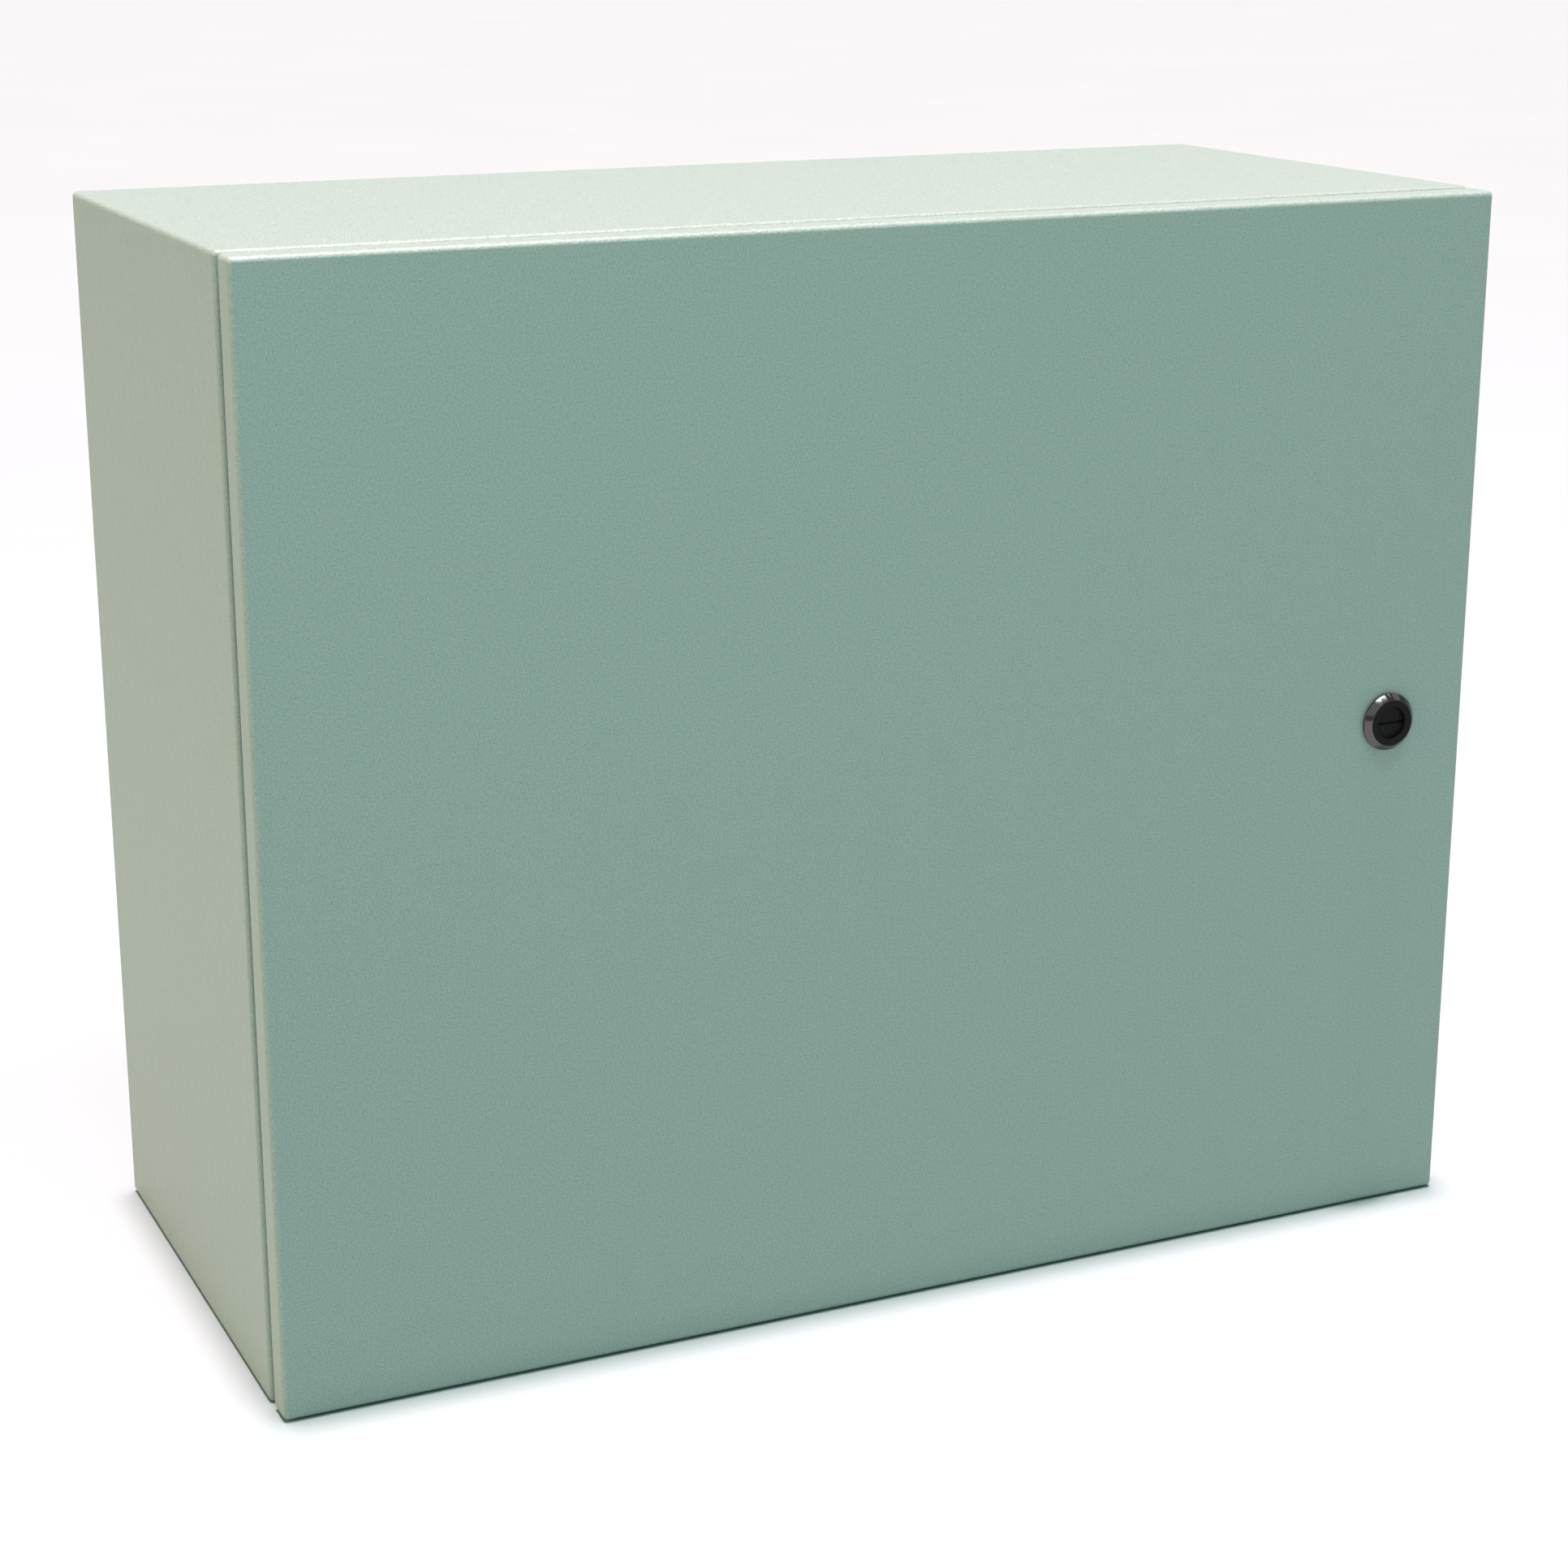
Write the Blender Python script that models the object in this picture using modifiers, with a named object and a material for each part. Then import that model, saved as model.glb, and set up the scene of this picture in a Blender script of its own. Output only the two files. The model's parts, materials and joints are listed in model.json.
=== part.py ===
"""Wall-mount steel enclosure with a hinged door, concealed hinges and a quarter-turn latch.

Metres, +Z up. The origin is the centre of the back face, the face that lies on the wall.
+X is to the right of a person who faces the door, and -Y points out of the wall towards them.
"""

import math

import bmesh
import bpy
from mathutils import Matrix

MM = 0.001

# Clearance that two solids in contact keep between their faces.
CONTACT_GAP = 0.3 * MM

# Body: one wrapped sheet with a front flange turned in and a sealing lip turned out again.
BODY_WIDTH = 609.6 * MM
BODY_HEIGHT = 508.0 * MM
BODY_DEPTH = 254.0 * MM
SHEET = 1.5 * MM
BEND_RADIUS = 2.5 * MM
BEND_STEPS = 6
FRONT_FLANGE = 18.0 * MM
SEAL_LIP = 12.0 * MM
WALL_HOLE_INSET = 25.0 * MM
WALL_HOLE_RADIUS = 5.0 * MM

# Door: a folded pan that covers the whole front.
DOOR_INSET = 0.5 * MM
DOOR_GAP = 6.0 * MM
DOOR_DEPTH = 14.5 * MM
DOOR_SHEET = 1.5 * MM
GASKET_WIDTH = 8.0 * MM
GASKET_CORNER = 12.0 * MM

# Perforated stiffening rails on the inside of the door.
RAIL_FACE = 20.0 * MM
RAIL_FOOT = 8.0 * MM
RAIL_HEIGHT = 11.0 * MM
RAIL_SHEET = 1.2 * MM
RAIL_END_CLEARANCE = 45.0 * MM
RAIL_LEFT_INSET = 52.0 * MM
RAIL_RIGHT_INSET = 88.0 * MM
RAIL_HOLE_RADIUS = 3.0 * MM
RAIL_HOLE_PITCH = 25.0 * MM

# Mounting panel and the collar studs that carry it.
PANEL_MARGIN = 38.1 * MM
PANEL_SHEET = 2.0 * MM
PANEL_FOLD = 10.0 * MM
PANEL_STUD_INSET = 12.7 * MM
PANEL_HOLE_RADIUS = 4.6 * MM
COLLAR_RADIUS = 7.0 * MM
COLLAR_HEIGHT = 12.0 * MM
PANEL_STUD_RADIUS = 4.0 * MM
PANEL_NUT_FLATS = 13.0 * MM
PANEL_NUT_HEIGHT = 8.0 * MM
PANEL_NUT_FLANGE_RADIUS = 9.0 * MM
PANEL_NUT_FLANGE = 1.6 * MM
STUD_BEYOND_NUT = 3.0 * MM

# Earthing studs.
EARTH_RADIUS = 3.0 * MM
EARTH_FOOT_RADIUS = 5.0 * MM
EARTH_FOOT = 2.0 * MM
EARTH_WASHER_RADIUS = 6.0 * MM
EARTH_WASHER = 1.2 * MM
EARTH_NUT_FLATS = 10.0 * MM
EARTH_NUT_HEIGHT = 5.0 * MM
EARTH_BEYOND_NUT = 4.5 * MM
BODY_EARTH_INSET = 20.0 * MM
BODY_EARTH_RISE = 74.0 * MM
DOOR_EARTH_INSET = 52.0 * MM
DOOR_EARTH_RISE = 32.0 * MM

# Blanking plugs in the wall fixing holes.
PLUG_HEAD_RADIUS = 8.0 * MM
PLUG_HEAD = 2.0 * MM

# Concealed hinges. The axis is measured from the body's left side and from its front flange.
HINGE_INSET = 6.0 * MM
HINGE_FORWARD = 9.5 * MM
HINGE_END_DISTANCE = 84.0 * MM
KNUCKLE_RADIUS = 3.5 * MM
PIN_RADIUS = 2.0 * MM
PIN_CLEARANCE = 0.15 * MM
PIN_HEAD_RADIUS = 3.2 * MM
PIN_HEAD = 1.6 * MM
LEAF_SHEET = 2.0 * MM
BODY_KNUCKLE_LENGTH = 29.0 * MM
DOOR_KNUCKLE_LENGTH = 10.0 * MM
KNUCKLE_GAP = 0.5 * MM
BODY_LEAF_LENGTH = 62.0 * MM
LEAF_TO_LIP = 2.8 * MM
BODY_SCREW_SPACING = 46.0 * MM
DOOR_LEAF_LENGTH = 80.0 * MM
LEAF_TO_GASKET = 0.35 * MM
DOOR_LEAF_SIDE = 5.0 * MM
DOOR_STUD_SPACING = 66.0 * MM
M4_RADIUS = 2.0 * MM
M4_HOLE_RADIUS = 2.4 * MM
M4_HEAD_RADIUS = 3.9 * MM
M4_NUT_FLATS = 7.0 * MM
M4_NUT_HEIGHT = 3.2 * MM

# Quarter-turn latch. Heights are measured outwards from the door's outer face.
LATCH_INSET = 45.0 * MM
BEZEL_RADIUS = 14.25 * MM
BEZEL_RIM = 0.5 * MM
BEZEL_FACE_RADIUS = 11.5 * MM
BEZEL_HEIGHT = 4.6 * MM
BEZEL_EDGE = 0.35 * MM
SEAL_RADIUS = 13.8 * MM
SEAL_THICKNESS = 0.6 * MM
RECESS_RADIUS = 7.9 * MM
RECESS_DEPTH = 2.0 * MM
BARREL_RADIUS = 11.0 * MM
BARREL_FLAT = 10.0 * MM
BARREL_HOLE_GAP = 0.35 * MM
BARREL_END_BEHIND_FLANGE_PLANE = 1.5 * MM
DRIVER_HEAD = 3.7 * MM
DRIVER_SHAFT_RADIUS = 6.0 * MM
DRIVER_SQUARE = 8.0 * MM
SLOT_WIDTH = 1.5 * MM
SLOT_DEPTH = 1.0 * MM
LATCH_NUT_FLATS = 27.0 * MM
LATCH_NUT_HEIGHT = 5.0 * MM
CAM_SHEET = 3.0 * MM
CAM_CLEARANCE = 0.8 * MM
CAM_WIDTH = 20.0 * MM
CAM_WALL_CLEARANCE = 6.0 * MM
CAM_WASHER_RADIUS = 8.0 * MM
CAM_WASHER = 1.3 * MM
CAM_SCREW_RADIUS = 3.0 * MM
CAM_SCREW_FLATS = 10.0 * MM
CAM_SCREW_HEAD = 4.0 * MM
CAM_SCREW_DEPTH = 12.0 * MM

# Planes and lines that the parts share.
LEFT_X = -BODY_WIDTH / 2
RIGHT_X = BODY_WIDTH / 2
FLANGE_Y = -BODY_DEPTH
LIP_Y = FLANGE_Y - SEAL_LIP
DOOR_REAR_Y = FLANGE_Y - DOOR_GAP
DOOR_FRONT_Y = DOOR_REAR_Y - DOOR_DEPTH
DOOR_SKIN_Y = DOOR_FRONT_Y + DOOR_SHEET
DOOR_WIDTH = BODY_WIDTH - 2 * DOOR_INSET
DOOR_HEIGHT = BODY_HEIGHT - 2 * DOOR_INSET
BACK_INNER_Y = -SHEET
STUD_BASE_Y = BACK_INNER_Y - CONTACT_GAP
PANEL_REAR_Y = STUD_BASE_Y - COLLAR_HEIGHT - CONTACT_GAP
PANEL_FRONT_Y = PANEL_REAR_Y - PANEL_SHEET
PANEL_WIDTH = BODY_WIDTH - 2 * PANEL_MARGIN
PANEL_HEIGHT = BODY_HEIGHT - 2 * PANEL_MARGIN
BODY_LEAF_REACH = FRONT_FLANGE - LEAF_TO_LIP
BODY_SCREW_INSET = (HINGE_INSET + BODY_LEAF_REACH) / 2
GASKET_CENTRE_INSET = FRONT_FLANGE + SHEET / 2
DOOR_LEAF_INSET = DOOR_INSET + DOOR_SHEET + CONTACT_GAP
DOOR_LEAF_REACH = GASKET_CENTRE_INSET - GASKET_WIDTH / 2 - LEAF_TO_GASKET
DOOR_STUD_INSET = (DOOR_LEAF_INSET + LEAF_SHEET + DOOR_LEAF_REACH) / 2
HINGE_X = LEFT_X + HINGE_INSET
HINGE_Y = FLANGE_Y - HINGE_FORWARD
HINGE_Z = BODY_HEIGHT / 2 - HINGE_END_DISTANCE
LATCH_X = RIGHT_X - LATCH_INSET
SIDES = {"left": -1, "right": 1}
LEVELS = {"upper": 1, "lower": -1}
CORNERS = {
    f"{level}_{side}": (SIDES[side], LEVELS[level]) for level in LEVELS for side in SIDES
}

FINE_STEPS = 20
SMALL_STEPS = 12
LARGE_STEPS = 64


def clear_scene():
    for leftover in list(bpy.data.objects):
        bpy.data.objects.remove(leftover)


def collection(name):
    made = bpy.data.collections.new(name)
    bpy.context.scene.collection.children.link(made)
    return made


def material(name, colour, roughness, metallic):
    made = bpy.data.materials.new(name)
    made.use_nodes = True
    shader = made.node_tree.nodes["Principled BSDF"]
    shader.inputs["Base Color"].default_value = (*colour, 1.0)
    shader.inputs["Roughness"].default_value = roughness
    shader.inputs["Metallic"].default_value = metallic
    made.diffuse_color = (*colour, 1.0)
    return made


clear_scene()
PARTS = collection("wall_enclosure")
CUTTERS = collection("cutters")
CUTTERS.hide_render = True
PAINT = material("paint", (0.42, 0.53, 0.47), 0.45, 0.0)
PANEL_COAT = material("panel_coat", (0.80, 0.81, 0.78), 0.5, 0.0)
ZINC = material("zinc_steel", (0.62, 0.63, 0.63), 0.35, 1.0)
DARK_CHROME = material("dark_chrome", (0.16, 0.15, 0.15), 0.15, 1.0)
BLACK = material("black_plastic", (0.012, 0.012, 0.012), 0.4, 0.0)
FOAM = material("gasket_foam", (0.05, 0.05, 0.055), 0.9, 0.0)


def add(name, mesh, finish, at=(0, 0, 0), parent=None):
    """Puts a mesh in the scene at a world position, under an empty if one is given."""
    made = bpy.data.objects.new(name, mesh)
    if finish is None:
        CUTTERS.objects.link(made)
        made.hide_render = True
        made.display_type = "WIRE"
    else:
        PARTS.objects.link(made)
        mesh.materials.clear()
        mesh.materials.append(finish)
    place(made, at, parent)
    return made


def place(made, at, parent=None):
    made.parent = parent
    origin = parent.location if parent else (0, 0, 0)
    made.location = [a - b for a, b in zip(at, origin)]


def axis_empty(name, at):
    """An empty on a joint's axis, which carries the pieces that move about it."""
    made = bpy.data.objects.new(name, None)
    PARTS.objects.link(made)
    made.location = at
    return made


def mesh_from(name, bm):
    bmesh.ops.recalc_face_normals(bm, faces=bm.faces)
    mesh = bpy.data.meshes.new(name)
    bm.to_mesh(mesh)
    bm.free()
    return mesh


def shade_round(mesh, angle=35):
    mesh.shade_smooth()
    mesh.set_sharp_from_angle(angle=math.radians(angle))


def face_towards(bm, direction):
    """The face whose normal points most nearly along a direction."""
    return max(bm.faces, key=lambda face: face.normal.dot(direction))


def cube(size):
    bm = bmesh.new()
    bmesh.ops.create_cube(bm, size=1.0, matrix=Matrix.Diagonal((*size, 1.0)))
    bm.normal_update()
    return bm


def box(name, size, at, finish=None, parent=None, rounded=0.0):
    """A block; rounded is the radius of its four edges that run along Y."""
    bm = cube(size)
    if rounded:
        along_y = [e for e in bm.edges if abs((e.verts[0].co - e.verts[1].co).y) > size[1] / 2]
        bmesh.ops.bevel(
            bm, geom=along_y, offset=rounded, segments=BEND_STEPS, affect="EDGES", profile=0.5
        )
    return add(name, mesh_from(name, bm), finish, at, parent)


def cylinder_mesh(name, radius, length, steps, along="Y"):
    turn = Matrix.Rotation(math.pi / 2, 4, "X") if along == "Y" else Matrix.Identity(4)
    bm = bmesh.new()
    bmesh.ops.create_cone(
        bm,
        cap_ends=True,
        segments=steps,
        radius1=radius,
        radius2=radius,
        depth=length,
        matrix=turn,
    )
    return mesh_from(name, bm)


def cylinder_cutter(name, radius, length, at, steps=SMALL_STEPS, parent=None):
    return add(name, cylinder_mesh(name, radius, length, steps), None, at, parent)


def combine(target, tool, operation="DIFFERENCE"):
    step = target.modifiers.new(f"{operation.lower()} {tool.name}", "BOOLEAN")
    step.operation = operation
    step.solver = "EXACT"
    step.object = tool


def fold_and_thicken(target, thickness):
    """Rounds the folds of an open sheet surface, then gives the sheet its thickness inwards."""
    folds = target.modifiers.new("folds", "BEVEL")
    folds.limit_method = "ANGLE"
    folds.angle_limit = math.radians(40)
    folds.width = BEND_RADIUS
    folds.segments = BEND_STEPS
    sheet = target.modifiers.new("sheet", "SOLIDIFY")
    sheet.thickness = thickness
    sheet.offset = -1
    sheet.use_even_offset = True
    sheet.use_quality_normals = True


def turned(name, profile, finish, at, parent=None, steps=FINE_STEPS, upright=False):
    """A turned piece. Its profile is (radius, height) pairs from the outer end down the outside;
    height runs out of the wall along -Y, or up along +Z for an upright piece."""
    bm = bmesh.new()
    points = [bm.verts.new((radius, 0, height)) for radius, height in profile]
    for first, second in zip(points, points[1:]):
        bm.edges.new((first, second))
    if profile[0][0] > 0:
        bm.edges.new((points[-1], points[0]))
    mesh = bpy.data.meshes.new(name)
    bm.to_mesh(mesh)
    bm.free()
    made = add(name, mesh, finish, at, parent)
    if not upright:
        made.rotation_euler = (math.pi / 2, 0, 0)
    lathe = made.modifiers.new("lathe", "SCREW")
    lathe.axis = "Z"
    lathe.steps = steps
    lathe.render_steps = steps
    lathe.use_merge_vertices = True
    lathe.merge_threshold = 0.00001
    lathe.use_smooth_shade = False
    return made


def ring_profile(inner, outer, low, high):
    return [(inner, high), (outer, high), (outer, low), (inner, low)]


def arc(centre, radius, start, end, steps):
    """Points of a circular arc, with its angles in degrees."""
    angles = [start + (end - start) * i / steps for i in range(steps + 1)]
    return [
        (
            centre[0] + radius * math.cos(math.radians(a)),
            centre[1] + radius * math.sin(math.radians(a)),
        )
        for a in angles
    ]


def circle(centre, radius, steps):
    return arc(centre, radius, 0, 360, steps)[:-1]


def rounded_rectangle(width, height, radius, steps=5):
    x = width / 2 - radius
    y = height / 2 - radius
    corners = [((x, y), 0), ((-x, y), 90), ((-x, -y), 180), ((x, -y), 270)]
    points = []
    for centre, start in corners:
        points += arc(centre, radius, start, start + 90, steps)
    return points


def outline_mesh(name, loops, length):
    """A flat outline with its holes, extruded along its own Z and centred on it."""
    curve = bpy.data.curves.new(name, "CURVE")
    curve.dimensions = "2D"
    curve.fill_mode = "BOTH"
    curve.extrude = length / 2
    for loop in loops:
        spline = curve.splines.new("POLY")
        spline.points.add(len(loop) - 1)
        for point, (x, y) in zip(spline.points, loop):
            point.co = (x, y, 0, 1)
        spline.use_cyclic_u = True
    holder = bpy.data.objects.new(name, curve)
    bpy.context.scene.collection.objects.link(holder)
    graph = bpy.context.evaluated_depsgraph_get()
    mesh = bpy.data.meshes.new_from_object(holder.evaluated_get(graph))
    bpy.data.objects.remove(holder)
    bm = bmesh.new()
    bm.from_mesh(mesh)
    bmesh.ops.remove_doubles(bm, verts=bm.verts, dist=0.00001)
    bmesh.ops.recalc_face_normals(bm, faces=bm.faces)
    bm.to_mesh(mesh)
    bm.free()
    mesh.name = name
    return mesh


def hex_prism_mesh(name, flats, height):
    bm = bmesh.new()
    bmesh.ops.create_cone(
        bm,
        cap_ends=True,
        segments=6,
        radius1=flats / 2 / math.cos(math.pi / 6),
        radius2=flats / 2 / math.cos(math.pi / 6),
        depth=height,
        matrix=Matrix.Rotation(math.pi / 2, 4, "X"),
    )
    return mesh_from(name, bm)


def hex_nut(name, flats, height, bore, at, parent=None, flange=None):
    """A hexagon nut whose seat is at a world point and whose body stands out along -Y.
    flange is (radius, thickness)."""
    x, y, z = at
    made = add(name, hex_prism_mesh(name, flats, height), ZINC, (x, y - height / 2, z), parent)
    if flange:
        radius, thickness = flange
        disc_at = (x, y - thickness / 2, z)
        disc = cylinder_cutter(f"{name}_flange", radius, thickness, disc_at, FINE_STEPS, parent)
        combine(made, disc, "UNION")
    combine(made, cylinder_cutter(f"{name}_bore", bore, 3 * height, at, FINE_STEPS, parent))
    return made


def stud_profile(radius, length, foot_radius, foot):
    """A welded stud with a wider foot and a chamfered end."""
    chamfer = radius / 4
    return [
        (0, length),
        (radius - chamfer, length),
        (radius, length - chamfer),
        (radius, foot),
        (foot_radius, foot),
        (foot_radius, 0),
        (0, 0),
    ]


# ---------------------------------------------------------------- body


def body_leaf_screw_points():
    """(level, number, x, z) of the countersunk screws that hold the body leaves."""
    return [
        (level, number, LEFT_X + BODY_SCREW_INSET, sign * HINGE_Z + offset * BODY_SCREW_SPACING / 2)
        for level, sign in LEVELS.items()
        for number, offset in ((1, 1), (2, -1))
    ]


def build_body_shell():
    bm = cube((BODY_WIDTH, BODY_DEPTH, BODY_HEIGHT))
    front = face_towards(bm, (0, -1, 0))
    bmesh.ops.inset_individual(bm, faces=[front], thickness=FRONT_FLANGE, use_even_offset=True)
    raised = bmesh.ops.extrude_face_region(bm, geom=[front])
    mouth = [v for v in raised["geom"] if isinstance(v, bmesh.types.BMVert)]
    bmesh.ops.translate(bm, verts=mouth, vec=(0, -SEAL_LIP, 0))
    bm.normal_update()
    mouth_face = min(bm.faces, key=lambda face: face.calc_center_median().y)
    rear = face_towards(bm, (0, 1, 0))
    mouth_area = mouth_face.calc_area() * 0.99
    doubled = [f for f in bm.faces if abs(f.normal.y) > 0.5 and f.calc_area() > mouth_area]
    bmesh.ops.delete(bm, geom=list({mouth_face, rear, *doubled}), context="FACES_ONLY")
    shell = add("body_shell", mesh_from("body_shell", bm), PAINT, (0, -BODY_DEPTH / 2, 0))
    fold_and_thicken(shell, SHEET)
    for level, number, x, z in body_leaf_screw_points():
        hole = cylinder_cutter(
            f"body_shell_hole_{level}_{number}", M4_HOLE_RADIUS, 6 * SHEET, (x, FLANGE_Y + SHEET / 2, z)
        )
        combine(shell, hole)
    return shell


def build_back_wall():
    fit = 2 * (SHEET + CONTACT_GAP)
    wall = box(
        "back_wall",
        (BODY_WIDTH - fit, SHEET, BODY_HEIGHT - fit),
        (0, -SHEET / 2, 0),
        PAINT,
        rounded=BEND_RADIUS - SHEET + CONTACT_GAP,
    )
    for corner, (side, level) in CORNERS.items():
        x = side * (BODY_WIDTH / 2 - WALL_HOLE_INSET)
        z = level * (BODY_HEIGHT / 2 - WALL_HOLE_INSET)
        at = (x, -SHEET / 2, z)
        combine(wall, cylinder_cutter(f"wall_hole_{corner}", WALL_HOLE_RADIUS, 4 * SHEET, at, FINE_STEPS))
        build_wall_plug(corner, x, z)


def build_wall_plug(corner, x, z):
    """A push-in plug whose head lies on the inside of the back wall."""
    shank = WALL_HOLE_RADIUS - CONTACT_GAP
    head_low = SHEET + CONTACT_GAP
    head_high = head_low + PLUG_HEAD
    edge = PLUG_HEAD / 4
    profile = [
        (0, head_high),
        (PLUG_HEAD_RADIUS - edge, head_high),
        (PLUG_HEAD_RADIUS, head_high - edge),
        (PLUG_HEAD_RADIUS, head_low),
        (shank, head_low),
        (shank, CONTACT_GAP),
        (0, CONTACT_GAP),
    ]
    turned(f"wall_plug_{corner}", profile, BLACK, (x, 0, z))


def panel_stud_point(side, level):
    return (
        side * (PANEL_WIDTH / 2 - PANEL_STUD_INSET),
        level * (PANEL_HEIGHT / 2 - PANEL_STUD_INSET),
    )


def build_mounting_panel():
    bm = cube((PANEL_WIDTH, PANEL_FOLD, PANEL_HEIGHT))
    bmesh.ops.delete(bm, geom=[face_towards(bm, (0, 1, 0))], context="FACES_ONLY")
    centre_y = PANEL_FRONT_Y + PANEL_FOLD / 2
    panel = add("mounting_panel", mesh_from("mounting_panel", bm), PANEL_COAT, (0, centre_y, 0))
    fold_and_thicken(panel, PANEL_SHEET)
    nut_seat = PANEL_FRONT_Y - CONTACT_GAP
    stud_length = STUD_BASE_Y - nut_seat + PANEL_NUT_HEIGHT + STUD_BEYOND_NUT
    for corner, (side, level) in CORNERS.items():
        x, z = panel_stud_point(side, level)
        hole = cylinder_cutter(
            f"panel_hole_{corner}", PANEL_HOLE_RADIUS, 6 * PANEL_SHEET, (x, PANEL_FRONT_Y, z), FINE_STEPS
        )
        combine(panel, hole)
        turned(
            f"panel_stud_{corner}",
            stud_profile(PANEL_STUD_RADIUS, stud_length, COLLAR_RADIUS, COLLAR_HEIGHT),
            ZINC,
            (x, STUD_BASE_Y, z),
        )
        hex_nut(
            f"panel_nut_{corner}",
            PANEL_NUT_FLATS,
            PANEL_NUT_HEIGHT,
            PANEL_STUD_RADIUS + CONTACT_GAP,
            (x, nut_seat, z),
            flange=(PANEL_NUT_FLANGE_RADIUS, PANEL_NUT_FLANGE),
        )


def build_earth_point(owner, x, base_y, z, parent=None):
    """A welded earthing stud with its washer and nut, standing out along -Y, or inwards on the door."""
    inwards = parent is not None
    length = EARTH_FOOT + EARTH_WASHER + EARTH_NUT_HEIGHT + EARTH_BEYOND_NUT + 2 * CONTACT_GAP
    washer_low = EARTH_FOOT + CONTACT_GAP
    bore = EARTH_RADIUS + CONTACT_GAP
    stud = turned(
        f"earth_stud_{owner}",
        stud_profile(EARTH_RADIUS, length, EARTH_FOOT_RADIUS, EARTH_FOOT),
        ZINC,
        (x, base_y, z),
        parent,
        SMALL_STEPS,
    )
    washer = turned(
        f"earth_washer_{owner}",
        ring_profile(bore, EARTH_WASHER_RADIUS, washer_low, washer_low + EARTH_WASHER),
        ZINC,
        (x, base_y, z),
        parent,
        FINE_STEPS,
    )
    out = 1 if inwards else -1
    if inwards:
        stud.rotation_euler = (-math.pi / 2, 0, 0)
        washer.rotation_euler = (-math.pi / 2, 0, 0)
    seat = washer_low + EARTH_WASHER + CONTACT_GAP
    nut_y = base_y + out * (seat + (EARTH_NUT_HEIGHT if inwards else 0))
    hex_nut(f"earth_nut_{owner}", EARTH_NUT_FLATS, EARTH_NUT_HEIGHT, bore, (x, nut_y, z), parent)


# ---------------------------------------------------------------- hinges


def build_body_leaf(level, z):
    """A folded leaf: a foot on the front flange, a riser, and an arm that ends in the middle knuckle."""
    foot_low = -CONTACT_GAP
    foot_high = foot_low - LEAF_SHEET
    reach = BODY_LEAF_REACH - HINGE_INSET
    arm_half = LEAF_SHEET / 2
    forward = HINGE_FORWARD
    hook = [
        (reach, -arm_half),
        (reach, forward + foot_low),
        (0, forward + foot_low),
        (0, forward + foot_high),
        (reach - LEAF_SHEET, forward + foot_high),
        (reach - LEAF_SHEET, arm_half),
    ]
    start = math.degrees(math.asin(arm_half / KNUCKLE_RADIUS))
    hook += arc((0, 0), KNUCKLE_RADIUS, start, 360 - start, FINE_STEPS)
    bore = circle((0, 0), PIN_RADIUS + PIN_CLEARANCE, FINE_STEPS)
    name = f"hinge_body_leaf_{level}"
    leaf = add(name, outline_mesh(name, [hook, bore], BODY_KNUCKLE_LENGTH), ZINC, (HINGE_X, HINGE_Y, z))
    foot_centre = (HINGE_X + reach / 2, FLANGE_Y + foot_low - LEAF_SHEET / 2, z)
    foot = box(f"{name}_foot", (reach, LEAF_SHEET, BODY_LEAF_LENGTH), foot_centre)
    combine(leaf, foot, "UNION")
    return leaf


def build_body_leaf_screws(leaves):
    """Countersunk screws through the foot and the front flange, each with its nut behind."""
    head_y = FLANGE_Y - CONTACT_GAP - LEAF_SHEET
    head_depth = M4_HEAD_RADIUS - M4_RADIUS
    flange_back_y = FLANGE_Y + SHEET
    nut_seat = flange_back_y + CONTACT_GAP
    length = nut_seat + M4_NUT_HEIGHT + M4_RADIUS - head_y
    bore = M4_RADIUS + CONTACT_GAP
    for level, number, x, z in body_leaf_screw_points():
        tag = f"{level}_{number}"
        screw = turned(
            f"hinge_screw_{tag}",
            [
                (0, 0),
                (M4_HEAD_RADIUS, 0),
                (M4_RADIUS, -head_depth),
                (M4_RADIUS, -length),
                (0, -length),
            ],
            ZINC,
            (x, head_y, z),
            steps=SMALL_STEPS,
        )
        slot = box(
            f"hinge_screw_slot_{tag}", (2 * M4_HEAD_RADIUS, M4_RADIUS / 2, M4_RADIUS / 2), (x, head_y, z)
        )
        combine(screw, slot)
        relief = CONTACT_GAP * 1.5
        sink = turned(
            f"hinge_sink_{tag}",
            [
                (0, relief),
                (M4_HEAD_RADIUS + 2 * relief, relief),
                (M4_RADIUS + relief, -head_depth),
                (M4_RADIUS + relief, -2 * LEAF_SHEET),
                (0, -2 * LEAF_SHEET),
            ],
            None,
            (x, head_y, z),
            steps=SMALL_STEPS,
        )
        combine(leaves[level], sink)
        hex_nut(
            f"hinge_nut_{tag}", M4_NUT_FLATS, M4_NUT_HEIGHT, bore, (x, nut_seat + M4_NUT_HEIGHT, z)
        )


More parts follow.
